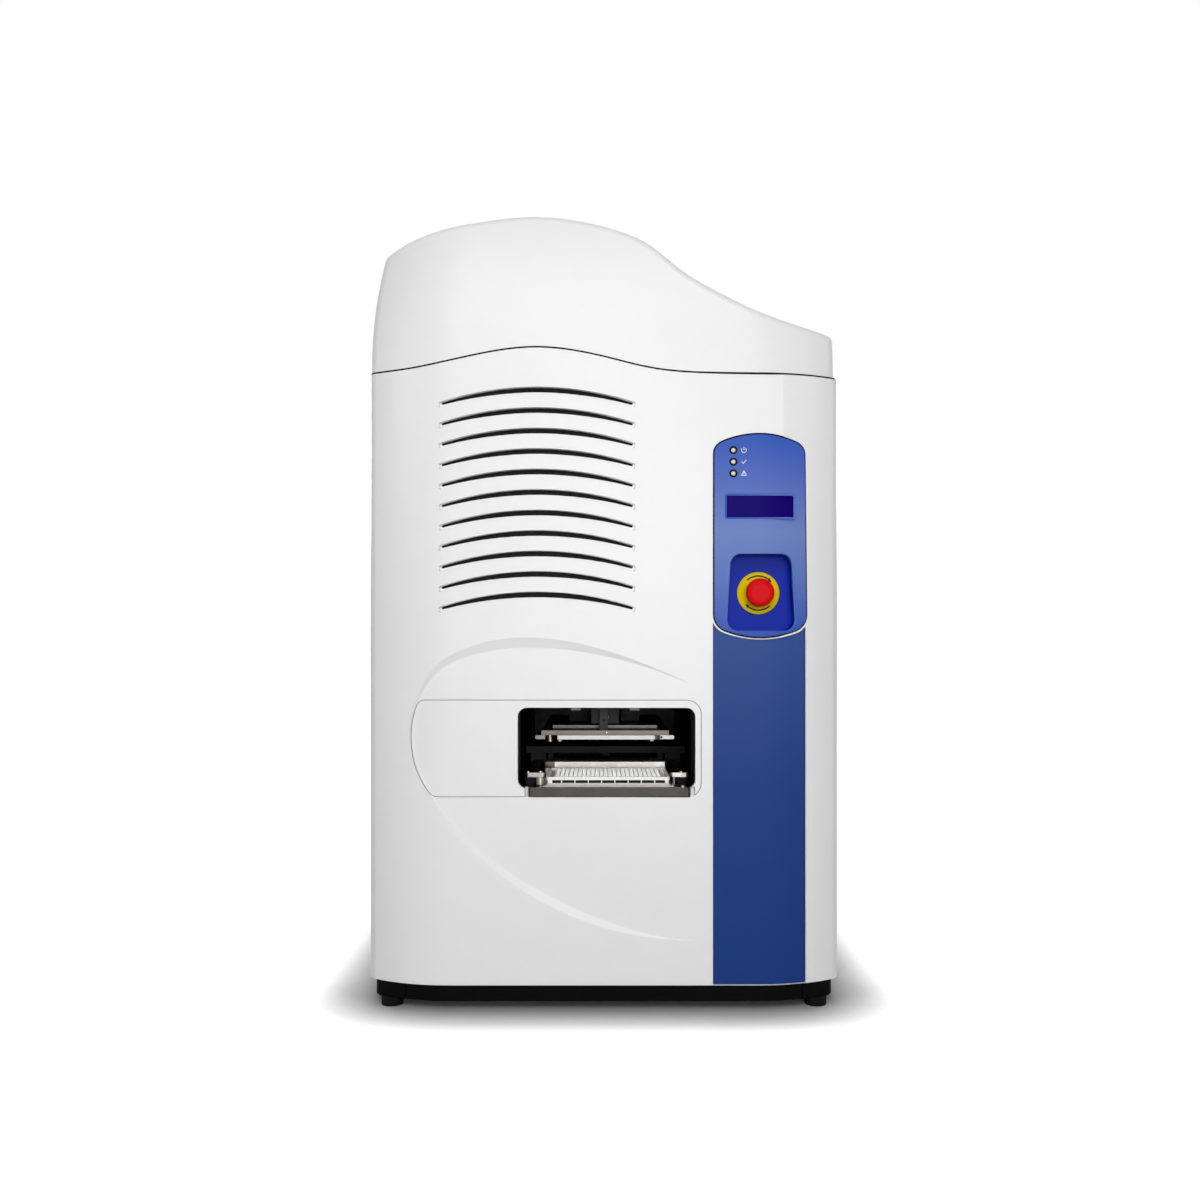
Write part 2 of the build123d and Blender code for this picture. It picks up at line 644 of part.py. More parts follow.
def tube(x, depth, z, axis):
    """A square steel tube along one axis, open at its ends."""
    spans = [x, depth, z]
    block(*spans)
    inside = [(span[0] + TUBE_WALL, span[1] - TUBE_WALL) for span in spans]
    hollow = [spans[n] if n == axis else inside[n] for n in range(3)]
    block(*hollow, mode=Mode.SUBTRACT)


def around(middle):
    return middle - TUBE / 2, middle + TUBE / 2


def chassis_tubes():
    """Every tube of the chassis, as its spans in x, depth and z and the axis that it runs along."""
    between = (POST_DEPTH + TUBE / 2, POST_REAR_DEPTH - TUBE / 2)
    across = (TUBE / 2 - POST_X, POST_X - TUBE / 2)
    for side in (-1, 1):
        for depth in (POST_DEPTH, POST_REAR_DEPTH):
            yield around(side * POST_X), around(depth), (BASE_TOP, POST_TOP), 2
        for level in (BEARER_TOP - TUBE / 2, POST_TOP - TUBE / 2):
            yield around(side * POST_X), between, around(level), 1
    for depth in (POST_DEPTH, BEARER_REAR):
        yield across, around(depth), around(BEARER_TOP - TUBE / 2), 0
    for depth in (POST_DEPTH, POST_REAR_DEPTH):
        yield across, around(depth), around(POST_TOP - TUBE / 2), 0


tubes = []
for x_span, depth_span, z_span, run in chassis_tubes():
    with BuildPart() as member:
        tube(x_span, depth_span, z_span, run)
    tubes.append(member.part)
save(Part(children=tubes), "chassis_frame")

STANDOFF_LEVELS = (BASE_TOP + 65, (BASE_TOP + POST_TOP) / 2 + 17.5, POST_TOP - 30)
with BuildPart() as panel_standoffs:
    with Locations(*[(0, FRONT, z) for z in STANDOFF_LEVELS]):
        with Locations((-POST_X, 0, 0), (POST_X, 0, 0)):
            Box(14, 2 * (POST_DEPTH - TUBE / 2), 10)
    with BuildSketch():
        make_face(plan_outline(FASCIA_WALL))
    extrude(amount=HEIGHT, mode=Mode.INTERSECT)
    for side in (-1, 1):
        for depth in (POST_DEPTH, POST_REAR_DEPTH):
            x = side * (POST_X + TUBE / 2 + HALF - SHEET) / 2
            with Locations(*[(x, behind(depth), z) for z in STANDOFF_LEVELS]):
                Box(HALF - SHEET - POST_X - TUBE / 2, 14, 10)
save(panel_standoffs.part, "panel_standoffs")

# ---------------------------------------------------------------- deck and source stage
TRANSDUCER_DEPTH = 100.0
TRANSDUCER_X = 4.0
TRAY_WINDOW = (-48.0, 56.0)
TRAY_WINDOW_DEPTH = (28.0, 90.0)
SCREW_FRONT = 134.0
CARRIAGE_TOP = 245.0
CARRIAGE_THICK = 8.0
RAIL_WIDTH = 12.0
MOTOR_SIDE = 42.0
MOTOR_LENGTH = 48.0
MOUNT = 12.0
MOTOR_PLATE = 6.0
front_end, rear_end = CARRIAGE_DEPTH
block_depths = [(front_end + 5, front_end + 45), (rear_end - 45, rear_end - 5)]

with BuildPart() as deck_plate:
    block((-DECK_HALF, DECK_HALF), (DECK_FRONT, DECK_REAR), (BEARER_TOP, DECK_TOP))
save(deck_plate.part, "deck_plate")

with BuildPart() as source_rails:
    for side in (-1, 1):
        x = STAGE_X + side * SOURCE_RAIL_HALF
        block((x - RAIL_WIDTH / 2, x + RAIL_WIDTH / 2), (75, 460), (DECK_TOP, SOURCE_RAIL_TOP))
        for edge in (-1, 1):
            groove = x + edge * RAIL_WIDTH / 2
            groove_z = (SOURCE_RAIL_TOP - 12, SOURCE_RAIL_TOP - 6)
            block((groove - 1.5, groove + 1.5), (75, 460), groove_z, mode=Mode.SUBTRACT)
save(source_rails.part, "source_rails")

CLAMP_X = STAGE_X - TRAY_HALF - 0.2
CLAMP_DEPTH = 50.0
NEST_WALL = 2.4
LOCATOR_X = PLATE_X + PLATE_LENGTH / 2 + NEST_WALL + 2.6
EAR = 3.2
LEVER_Z = 229.2
LEVER_THICK = 4.7
LEVER_WIDTH = 6.4

with BuildPart() as source_tray:
    block((STAGE_X - TRAY_HALF, STAGE_X + TRAY_HALF), (8, TRAY_REAR), (TRAY_BOTTOM, TRAY_TOP))
    block((TRAY_BAR_X - TRAY_BAR_HALF, TRAY_BAR_X + TRAY_BAR_HALF), (1, 9), (TRAY_BOTTOM, TRAY_BAR_TOP))
    block((CLAMP_X - EAR, LOCATOR_X + EAR), (CLAMP_DEPTH - 7, CLAMP_DEPTH + 7), (TRAY_BOTTOM, TRAY_TOP))
    fillet(source_tray.edges().filter_by(Axis.Z).group_by(Axis.Y)[0], 2)
    block(TRAY_WINDOW, TRAY_WINDOW_DEPTH, (TRAY_BOTTOM, TRAY_TOP), mode=Mode.SUBTRACT)
save(source_tray.part, "source_tray")

NEST_TOP = 224.4
STOP_DEPTH = (108.0, 128.0)
with BuildPart() as nest_frame:
    with Locations((PLATE_X, behind(PLATE_MID), (TRAY_TOP + NEST_TOP) / 2)):
        Box(PLATE_LENGTH + 2 * NEST_WALL, PLATE_WIDTH + 2 * NEST_WALL, NEST_TOP - TRAY_TOP)
        Box(PLATE_LENGTH - 12, PLATE_WIDTH - 12, NEST_TOP - TRAY_TOP, mode=Mode.SUBTRACT)
    with Locations((PLATE_X, behind(PLATE_MID), TRAY_TOP + PLATE_SEAT + HEIGHT / 2)):
        Box(PLATE_LENGTH + 2 * SLIDE_CLEAR, PLATE_WIDTH + 2 * SLIDE_CLEAR, HEIGHT, mode=Mode.SUBTRACT)

with BuildPart() as stop_bar:
    block((STAGE_X - 66.5, STAGE_X + 64.5), STOP_DEPTH, (TRAY_TOP, 240.6))
    trough = (STOP_DEPTH[0] + 6, STOP_DEPTH[1] + 1)
    block((STAGE_X - 50, STAGE_X + 48), trough, (TRAY_TOP + 8, 241), mode=Mode.SUBTRACT)
    chamfer(stop_bar.edges().filter_by(Axis.X).group_by(Axis.Z)[-1].group_by(Axis.Y)[0], 2)

with BuildPart() as right_locator:
    post(LOCATOR_X, CLAMP_DEPTH, (TRAY_TOP, LEVER_Z), 4.4)
    with BuildSketch(Plane.XY.offset(LEVER_Z)):
        with Locations((LOCATOR_X + 5.4, behind(CLAMP_DEPTH))):
            SlotOverall(20, LEVER_WIDTH)
    extrude(amount=LEVER_THICK)
    with Locations((LOCATOR_X + 7.4, behind(CLAMP_DEPTH), LEVER_Z + LEVER_THICK)):
        Cylinder(2.7, 1.4, align=(Align.CENTER, Align.CENTER, Align.MIN))

with BuildPart() as bar_stud:
    post(TRAY_BAR_X + 74, 5.2, (TRAY_BAR_TOP, TRAY_BAR_TOP + 2.4), 4.4)
    fillet(bar_stud.edges().sort_by(Axis.Z)[-1], 1)

save(Part(children=[nest_frame.part, stop_bar.part, right_locator.part, bar_stud.part]), "plate_nest")

with BuildPart() as clamp_post:
    post(CLAMP_X, CLAMP_DEPTH, (TRAY_TOP, LEVER_Z), 6)
    post(CLAMP_X, CLAMP_DEPTH, (LEVER_Z, LEVER_Z + LEVER_THICK + SLIDE_CLEAR), 3)
    post(CLAMP_X, CLAMP_DEPTH, (LEVER_Z + LEVER_THICK + SLIDE_CLEAR, LEVER_Z + LEVER_THICK + 1.6), 5.4)
save(clamp_post.part, "clamp_post")

LEVER_TIP = PLATE_X - PLATE_LENGTH / 2 - 0.5
LEVER_TAIL = -82.0
with BuildPart() as clamp_lever:
    with BuildSketch(Plane.XY.offset(LEVER_Z)):
        with Locations(((LEVER_TIP + LEVER_TAIL) / 2, behind(CLAMP_DEPTH))):
            SlotOverall(LEVER_TIP - LEVER_TAIL, LEVER_WIDTH)
        with Locations((CLAMP_X, behind(CLAMP_DEPTH))):
            Circle(1.5 + SLIDE_CLEAR, mode=Mode.SUBTRACT)
    extrude(amount=LEVER_THICK)
save(clamp_lever.part, "clamp_lever")

WELL_FLOOR = PLATE_HEIGHT - WELL_DEPTH
with BuildPart() as microplate:
    with BuildSketch(Plane.XY.offset(PLATE_Z)):
        with Locations((PLATE_X, behind(PLATE_MID))):
            RectangleRounded(PLATE_LENGTH, PLATE_WIDTH, 3)
    extrude(amount=2.5)
    with BuildSketch(Plane.XY.offset(PLATE_Z + 2.5)):
        with Locations((PLATE_X, behind(PLATE_MID))):
            RectangleRounded(PLATE_LENGTH - 3, PLATE_WIDTH - 3, 2)
    extrude(amount=PLATE_HEIGHT - 2.5)
    with BuildSketch(Plane.XY.offset(PLATE_Z + WELL_FLOOR)):
        with Locations((PLATE_X, behind(PLATE_MID))):
            with GridLocations(WELL_PITCH, WELL_PITCH, 12, 8):
                Rectangle(WELL_SIDE, WELL_SIDE)
    extrude(amount=WELL_DEPTH, mode=Mode.SUBTRACT)
save(microplate.part, "microplate")

with BuildPart() as source_carriage:
    bridge_x = (STAGE_X - 94.5, STAGE_X + 94.5)
    block(bridge_x, CARRIAGE_DEPTH, (CARRIAGE_TOP - CARRIAGE_THICK, CARRIAGE_TOP))
    for side in (-1, 1):
        rail = STAGE_X + side * SOURCE_RAIL_HALF
        for span in block_depths:
            block((rail - 9, rail + 9), span, (TRAY_TOP + 1, CARRIAGE_TOP - CARRIAGE_THICK))
            slot = RAIL_WIDTH / 2 + SLIDE_CLEAR
            slot_z = (TRAY_TOP, SOURCE_RAIL_TOP + SLIDE_CLEAR)
            block((rail - slot, rail + slot), span, slot_z, mode=Mode.SUBTRACT)
        hanger = sorted((STAGE_X + side * TRAY_HALF, STAGE_X + side * (TRAY_HALF - 6)))
        block(hanger, (block_depths[0][0], block_depths[1][1]), (TRAY_TOP, CARRIAGE_TOP - CARRIAGE_THICK))
    block((STAGE_X - 12, STAGE_X + 12), (290, 320), (197.5, TRAY_BOTTOM))
    rod(STAGE_X, SOURCE_SCREW_Z, (280, 330), SOURCE_SCREW + 2 * RUN_CLEAR, mode=Mode.SUBTRACT)
save(source_carriage.part, "source_carriage")


def lead_screw(x, z, diameter, front, plate_depth):
    """A screw from just inside its front mount to the motor's face, with a coupling on its rear end."""
    with BuildPart() as spindle:
        rod(x, z, (front + 1, plate_depth + MOTOR_PLATE - 0.3), diameter)
        rod(x, z, (plate_depth - 24, plate_depth - 4), diameter + 7)
    return spindle.part


def screw_mounts(x, z, diameter, front, plate_depth, foot, plate_foot):
    """The block that carries the front end of a screw and the plate that its motor is screwed to."""
    with BuildPart() as mounts:
        block((x - 15, x + 15), (front, front + MOUNT), sorted((foot, z + (9 if foot < z else -7))))
        block((x - 22, x + 22), (plate_depth, plate_depth + MOTOR_PLATE), plate_foot)
        rod(x, z, (0, DEPTH), diameter + 2 * RUN_CLEAR, mode=Mode.SUBTRACT)
    return mounts.part


def stepper(x, z, depth):
    """A square stepper motor behind its plate, with the shaft end of its screw left free."""
    with BuildPart() as motor:
        with BuildSketch(Plane.XZ.offset(-behind(depth + MOTOR_LENGTH))):
            with Locations((x, z)):
                Rectangle(MOTOR_SIDE, MOTOR_SIDE)
        extrude(amount=MOTOR_LENGTH)
        chamfer(motor.edges().filter_by(Axis.Y), 4)
    return motor.part


save(lead_screw(STAGE_X, SOURCE_SCREW_Z, SOURCE_SCREW, SCREW_FRONT, DECK_REAR), "source_screw")
save(
    screw_mounts(STAGE_X, SOURCE_SCREW_Z, SOURCE_SCREW, SCREW_FRONT, DECK_REAR, DECK_TOP, (182, 230)),
    "source_screw_mounts",
)
save(stepper(STAGE_X, SOURCE_SCREW_Z, DECK_REAR + MOTOR_PLATE), "source_motor")

with BuildPart() as transducer:
    post(TRANSDUCER_X, TRANSDUCER_DEPTH, (DECK_TOP, DECK_TOP + 9), 44)
    post(TRANSDUCER_X, TRANSDUCER_DEPTH, (DECK_TOP + 9, DECK_TOP + 17.5), 38)
    post(TRANSDUCER_X, TRANSDUCER_DEPTH, (DECK_TOP + 15, DECK_TOP + 17.5), 22, mode=Mode.SUBTRACT)
save(transducer.part, "transducer")

# ---------------------------------------------------------------- destination stage
UPPER_RAIL_HEAD = (298.0, 302.5)
UPPER_RAIL_SPAN = (58.0, 490.0)
UPPER_BLOCKS = ((232.0, 268.0), (302.0, 338.0))
UPPER_TOP = UPPER_PLATE_Z + UPPER_PLATE_THICK
WALL_X = (STAGE_X - 106.5, STAGE_X + 106.5)
bridge_parts = []
with BuildPart() as bridge_top:
    block(WALL_X, (BRIDGE_FRONT, BRIDGE_REAR), (BRIDGE_Z, BRIDGE_Z + BRIDGE_THICK))
bridge_parts.append(bridge_top.part)
for wall in ((WALL_X[0], WALL_X[0] + 8), (WALL_X[1] - 8, WALL_X[1])):
    with BuildPart() as bridge_wall:
        block(wall, (180, 480), (DECK_TOP, BRIDGE_Z))
    bridge_parts.append(bridge_wall.part)
save(Part(children=bridge_parts), "upper_bridge")

upper_rail_x = [UPPER_X - UPPER_RAIL_HALF, UPPER_X + UPPER_RAIL_HALF]
with BuildPart() as upper_rails:
    for x in upper_rail_x:
        block((x - 5, x + 5), UPPER_RAIL_SPAN, UPPER_RAIL_HEAD)
        block((x - 3.5, x + 3.5), UPPER_RAIL_SPAN, (UPPER_RAIL_HEAD[1], BRIDGE_Z))
save(upper_rails.part, "upper_rails")

with BuildPart() as upper_carriage:
    plate_x = (UPPER_X - UPPER_PLATE_HALF, UPPER_X + UPPER_PLATE_HALF)
    block(plate_x, (UPPER_FRONT, TRAY_REAR), (UPPER_PLATE_Z, UPPER_TOP))
    block((UPPER_X - 57.5, UPPER_X + 57.5), (120, 126), (UPPER_TOP, UPPER_TOP + 3))
    block((UPPER_X - 6, UPPER_X + 3), (95, 98), (UPPER_TOP, 300))
    rod(UPPER_X - 1.5, 285, (90, 100), 3, mode=Mode.SUBTRACT)
    block((UPPER_X - 12, UPPER_X + 12), (290, 315), (UPPER_TOP, UPPER_SCREW_Z + 8))
    rod(UPPER_X, UPPER_SCREW_Z, (280, 330), UPPER_SCREW + 2 * RUN_CLEAR, mode=Mode.SUBTRACT)
save(upper_carriage.part, "upper_carriage")

with BuildPart() as upper_bearing_blocks:
    for x in upper_rail_x:
        for span in UPPER_BLOCKS:
            block((x - 11, x + 11), span, (UPPER_TOP, BRIDGE_Z - 0.5))
            low = UPPER_RAIL_HEAD[0] - SLIDE_CLEAR
            high = UPPER_RAIL_HEAD[1] + SLIDE_CLEAR
            block((x - 5 - SLIDE_CLEAR, x + 5 + SLIDE_CLEAR), span, (low, high), mode=Mode.SUBTRACT)
            block((x - 3.5 - SLIDE_CLEAR, x + 3.5 + SLIDE_CLEAR), span, (high, BRIDGE_Z), mode=Mode.SUBTRACT)
save(upper_bearing_blocks.part, "upper_bearing_blocks")

FRAME_THICK = 4.5
GRIP_X = (UPPER_X - 51.0, UPPER_X + 57.5)
with BuildPart() as gripper_frame:
    frame_z = (UPPER_PLATE_Z - FRAME_THICK, UPPER_PLATE_Z)
    block(GRIP_X, (80, 170), frame_z)
    block((GRIP_X[0] + 10, GRIP_X[1] - 14), (90, 160), frame_z, mode=Mode.SUBTRACT)
    for x in (GRIP_X[0] + 2.4, GRIP_X[1] - 7.3):
        for depth in (86, 164):
            post(x, depth, (frame_z[0] - 2, frame_z[0]), 4)
save(gripper_frame.part, "gripper_frame")

JAW_DEPTH = (84.0, 166.0)
JAW_CLEAR = 0.2
left_jaw = ("gripper_jaw_left", (-73.5, -62.8), 0)
right_jaw = ("gripper_jaw_right", (GRIP_X[1] + 1.2, 75.7), -1)
for name, x_span, outer in (left_jaw, right_jaw):
    with BuildPart() as jaw:
        block(x_span, JAW_DEPTH, (UPPER_PLATE_Z - FRAME_THICK, UPPER_PLATE_Z - JAW_CLEAR))
        fillet(jaw.edges().filter_by(Axis.Y).group_by(Axis.X)[outer], 1.4)
        block(x_span, (110, 140), (UPPER_PLATE_Z - FRAME_THICK, UPPER_PLATE_Z - 2), mode=Mode.SUBTRACT)
    save(jaw.part, name)

PLUNGER_X = -58.0
PLUNGER_DEPTH = 92.0
with BuildPart() as locating_plunger:
    post(PLUNGER_X, PLUNGER_DEPTH, (UPPER_PLATE_Z - 6.6, UPPER_PLATE_Z), 3.8)
    for ring in range(4):
        top = UPPER_PLATE_Z - 0.6 - 1.5 * ring
        post(PLUNGER_X, PLUNGER_DEPTH, (top - 0.9, top), 5.2)
    post(PLUNGER_X, PLUNGER_DEPTH, (UPPER_PLATE_Z - 7.6, UPPER_PLATE_Z - 6.6), 2.4)
save(locating_plunger.part, "locating_plunger")

UPPER_MOUNT = 104.0
save(lead_screw(UPPER_X, UPPER_SCREW_Z, UPPER_SCREW, UPPER_MOUNT, BRIDGE_REAR), "upper_screw")
save(
    screw_mounts(UPPER_X, UPPER_SCREW_Z, UPPER_SCREW, UPPER_MOUNT, BRIDGE_REAR, BRIDGE_Z, (264, 314)),
    "upper_screw_mounts",
)
save(stepper(UPPER_X, UPPER_SCREW_Z, BRIDGE_REAR + MOTOR_PLATE), "upper_motor")

# ---------------------------------------------------------------- chamber liner and door
LINER_X = (STAGE_X - 113.0, STAGE_X + 113.0)
LINER_TOP = 330.0
LINER = 1.5
LINER_DEPTH = (DECK_FRONT, 562.0)
liner_inner = (LINER_X[0] + LINER, LINER_X[1] - LINER)
liner_z = (DECK_TOP, LINER_TOP)
liner_spans = [
    ((LINER_X[0], liner_inner[0]), LINER_DEPTH, liner_z),
    ((liner_inner[1], LINER_X[1]), LINER_DEPTH, liner_z),
    (LINER_X, LINER_DEPTH, (LINER_TOP, LINER_TOP + LINER)),
    (liner_inner, (LINER_DEPTH[1] - LINER, LINER_DEPTH[1]), liner_z),
]
liner_sheets = []
for spans in liner_spans:
    with BuildPart() as liner_sheet:
        block(*spans)
    liner_sheets.append(liner_sheet.part)
save(Part(children=liner_sheets), "chamber_liner")

CLEVIS_X = STAGE_X + 72.0
CYLINDER_DEPTH = 22.0
CYLINDER_Z = (DOOR_TOP + 12.0, DOOR_TOP + 130.0)
with BuildPart() as access_door:
    door_x = (STAGE_X - DOOR_HALF, STAGE_X + DOOR_HALF)
    back = DOOR_DEPTH + DOOR_THICK
    block(door_x, (DOOR_DEPTH, back), (DOOR_BOTTOM, DOOR_TOP))
    block((CLEVIS_X - 6, CLEVIS_X + 6), (back, CYLINDER_DEPTH + 5), (DOOR_TOP - 14, DOOR_TOP - 4))
    block((STAGE_X - 80, STAGE_X + 60), (back, back + 2.5), (DOOR_TOP - 9, DOOR_TOP - 6))
save(access_door.part, "access_door")

with BuildPart() as door_rod:
    post(CLEVIS_X, CYLINDER_DEPTH, (DOOR_TOP - 4, DOOR_TOP + 120), 5)
    post(CLEVIS_X, CYLINDER_DEPTH, (DOOR_TOP - 4, DOOR_TOP), 9)
save(door_rod.part, "door_rod")

with BuildPart() as door_guides:
    for side in (-1, 1):
        edge = STAGE_X + side * DOOR_HALF
        block(sorted((edge - side * 4, edge + side * 7)), (7, 13), (WINDOW_BOTTOM + 1, DOOR_TOP + 2))
        slot_span = sorted((edge - side * 5, edge + side * 0.4))
        slot_depth = (DOOR_DEPTH - 0.4, DOOR_DEPTH + DOOR_THICK + 0.4)
        block(slot_span, slot_depth, (WINDOW_BOTTOM, DOOR_TOP + 3), mode=Mode.SUBTRACT)
save(door_guides.part, "door_guides")

with BuildPart() as door_cylinder:
    post(CLEVIS_X, CYLINDER_DEPTH, CYLINDER_Z, 18)
    for z in (CYLINDER_Z[0] + 8, CYLINDER_Z[1] - 8):
        block((CLEVIS_X - 9, CLEVIS_X + 9), (FASCIA_WALL, CYLINDER_DEPTH), (z - 6, z + 6))
    bore_z = (CYLINDER_Z[0] - 1, CYLINDER_Z[1] - 6)
    post(CLEVIS_X, CYLINDER_DEPTH, bore_z, 5 + 2 * RUN_CLEAR, mode=Mode.SUBTRACT)
save(door_cylinder.part, "door_cylinder")

FILTER_Z = (VENT_TOP - (VENT_COUNT - 1) * VENT_PITCH - VENT_RISE - 6, VENT_TOP + 11.5)
FILTER_X = (VENT_X - VENT_HALF - 8, VENT_X + VENT_HALF + 9)
with BuildPart() as vent_filter:
    block(FILTER_X, (9, 14), FILTER_Z)
    for x in (FILTER_X[0] + 33, FILTER_X[1] - 15):
        for z in (FILTER_Z[0] + 4, FILTER_Z[1] - 6):
            rod(x, z, (FASCIA_WALL, 9), 6)
save(vent_filter.part, "vent_filter")

# ---------------------------------------------------------------- rear fittings and what stands on the base
FAN_STRUT = 3.0
ROTOR_SPAN = (rear_depth - SHEET - FAN_THICK + FAN_STRUT + 1, rear_depth - SHEET - 2)
fans = []
for x, z in fan_spots:
    fan_span = (rear_depth - SHEET - FAN_THICK, rear_depth - SHEET)
    with BuildPart() as fan_frame:
        pierce(window_outline(x, z, FAN_SIZE, FAN_SIZE, 4), *fan_span, mode=Mode.ADD)
        rod(x, z, fan_span, FAN_BORE, mode=Mode.SUBTRACT)
        rod(x, z, (fan_span[0], fan_span[0] + FAN_STRUT), 34)
        strut, reach = (fan_span[0], fan_span[0] + FAN_STRUT), FAN_BORE / 2 + 1
        block((x - reach, x + reach), strut, (z - 2.5, z + 2.5))
        block((x - 2.5, x + 2.5), strut, (z - reach, z + reach))
        rod(x, z, (fan_span[0] + FAN_STRUT, ROTOR_SPAN[1] - 4), 6)
    fans.append(fan_frame.part)
save(Part(children=fans), "fan_frames")

for name, (x, z) in zip(("fan_rotor_left", "fan_rotor_right"), fan_spots):
    with BuildPart() as rotor:
        middle_y = behind((ROTOR_SPAN[0] + ROTOR_SPAN[1]) / 2)
        rod(x, z, ROTOR_SPAN, 34)
        for blade in range(7):
            turn = Pos(x, middle_y, z) * Rot(0, 360 / 7 * blade, 0) * Pos(25.5, 0, 0) * Rot(38, 0, 0)
            with Locations(turn):
                Box(21, 18, 1.6)
        rod(x, z, (ROTOR_SPAN[0], ROTOR_SPAN[1] - 3), 6 + 2 * RUN_CLEAR, mode=Mode.SUBTRACT)
    save(rotor.part, name)

guards = []
for x, z in fan_spots:
    with BuildPart() as guard:
        for radius in (11, 21, 31, 40):
            with BuildSketch(Plane.XZ.offset(-behind(rear_depth + 3))):
                with Locations((x, z)):
                    Circle(radius + 1)
                    Circle(radius - 1, mode=Mode.SUBTRACT)
            extrude(amount=1.6)
        for turn in (45, 135):
            with Locations(Pos(x, behind(rear_depth + 2.2), z) * Rot(0, turn, 0)):
                Box(101, 1.6, 3)
        for dx, dz in corner_spots:
            rod(x + dx * 35.5, z + dz * 35.5, (rear_depth, rear_depth + 2.5), 7)
    guards.append(guard.part)
save(Part(children=guards), "fan_guards")

with BuildPart() as power_inlet:
    pierce(window_outline(INLET_X, INLET_Z, 27, 20, 2), rear_depth - 24, rear_depth + 1, mode=Mode.ADD)
    pierce(window_outline(INLET_X, INLET_Z, 48, 24, 3), rear_depth, rear_depth + 2.5, mode=Mode.ADD)
    pierce(window_outline(INLET_X, INLET_Z, 23, 16, 3), rear_depth - 16, rear_depth + 5)
    for dx, dz in ((-7, -2), (0, 3), (7, -2)):
        pin_x, pin_z = INLET_X + dx, INLET_Z + dz
        block((pin_x - 1, pin_x + 1), (rear_depth - 17, rear_depth), (pin_z - 2, pin_z + 2))

ROCKER_PIVOT = rear_depth - 4
with BuildPart() as switch_body:
    pierce(window_outline(SWITCH_X, INLET_Z, 13, 20, 1), rear_depth - 18, rear_depth, mode=Mode.ADD)
    pierce(window_outline(SWITCH_X, INLET_Z, 15, 23, 1.5), rear_depth, rear_depth + 1.5, mode=Mode.ADD)
    pierce(window_outline(SWITCH_X, INLET_Z, 10, 17, 0.5), rear_depth - 10, rear_depth + 5)
    with Locations((SWITCH_X, behind(ROCKER_PIVOT), INLET_Z)):
        Cylinder(1.2 + SLIDE_CLEAR / 2, 12.6, rotation=(0, 90, 0), mode=Mode.SUBTRACT)

with BuildPart() as power_switch:
    pivot_y = behind(ROCKER_PIVOT)
    profile = [(-3, -5.5), (4, -7), (6.6, -6.4), (4.8, 0), (7.4, 6.4), (4, 7), (-3, 5.5)]
    with BuildSketch(Plane.YZ.offset(SWITCH_X - 4.7)):
        with BuildLine():
            Polyline(*[(pivot_y + y, INLET_Z + z) for y, z in profile], close=True)
        make_face()
    extrude(amount=9.4)
    with Locations((SWITCH_X, pivot_y, INLET_Z)):
        Cylinder(1.2, 12.4, rotation=(0, 90, 0))
save(power_switch.part, "power_switch")

with BuildPart() as io_panel:
    pierce(window_outline(IO_X, INLET_Z, 84, 24, 2), rear_depth - 3, rear_depth, mode=Mode.ADD)
    pierce(window_outline(IO_X, INLET_Z, 92, 32, 3), rear_depth, rear_depth + 1.5, mode=Mode.ADD)
    for dx in (-30, -12):
        block((IO_X + dx - 8, IO_X + dx + 8), (rear_depth - 14, rear_depth + 3), (INLET_Z - 7, INLET_Z + 7))
        socket_x, socket_z = (IO_X + dx - 6, IO_X + dx + 6), (INLET_Z - 5, INLET_Z + 4)
        block(socket_x, (rear_depth - 8, rear_depth + 5), socket_z, mode=Mode.SUBTRACT)
    for dx in (12, 30):
        rod(IO_X + dx, INLET_Z, (rear_depth - 10, rear_depth + 6), 12)
        rod(IO_X + dx, INLET_Z, (rear_depth - 4, rear_depth + 12), 10)
        rod(IO_X + dx, INLET_Z, (rear_depth - 12, rear_depth + 13), 6, mode=Mode.SUBTRACT)
save(Part(children=[power_inlet.part, switch_body.part, io_panel.part]), "rear_connectors")

with BuildPart() as power_supply:
    block((-90, 20), (430, 640), (BASE_TOP, BASE_TOP + 50))
save(power_supply.part, "power_supply")

with BuildPart() as controller_board:
    for x in (-150, 20):
        for depth in (160, 300):
            post(x, depth, (BASE_TOP, BASE_TOP + 12), 8)
    block((-158, 28), (152, 308), (BASE_TOP + 12, BASE_TOP + 13.6))
    block((-110, -70), (200, 240), (BASE_TOP + 13.6, BASE_TOP + 17))
    for n in range(5):
        block((-140 + n * 32, -118 + n * 32), (284, 300), (BASE_TOP + 13.6, BASE_TOP + 24))
save(controller_board.part, "controller_board")

BOTTLE_X = 120.0
BOTTLE_DEPTH = 330.0
with BuildPart() as fluid_bottle:
    post(BOTTLE_X, BOTTLE_DEPTH, (BASE_TOP, BASE_TOP + 88), 84)
    fillet(fluid_bottle.edges().filter_by(GeomType.CIRCLE), 6)
    post(BOTTLE_X, BOTTLE_DEPTH, (BASE_TOP + 80, BASE_TOP + 96), 34)
    post(BOTTLE_X, BOTTLE_DEPTH, (BASE_TOP + 96, BASE_TOP + 112), 44)
save(fluid_bottle.part, "fluid_bottle")

with BuildPart() as coupling_pump:
    block((85, 145), (190, 250), (BASE_TOP, BASE_TOP + 40))
    rod(115, BASE_TOP + 40 + 18, (180, 240), 36)
    block((97, 133), (180, 240), (BASE_TOP + 38, BASE_TOP + 58))
save(coupling_pump.part, "coupling_pump")
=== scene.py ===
# %% [markdown]
# # Bench-top acoustic liquid handling robot
# The machine is a tall white cabinet with a wave-shaped cover, a blue control panel and a slot with two
# plate stages behind it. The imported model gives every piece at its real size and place, in metres. This
# script gives each surface its finish, adds the fine pieces that a solid model leaves out, and sets up
# camera and light.

# %% Load the frame
from math import atan2, cos, degrees, pi, radians, sin, tan, tau

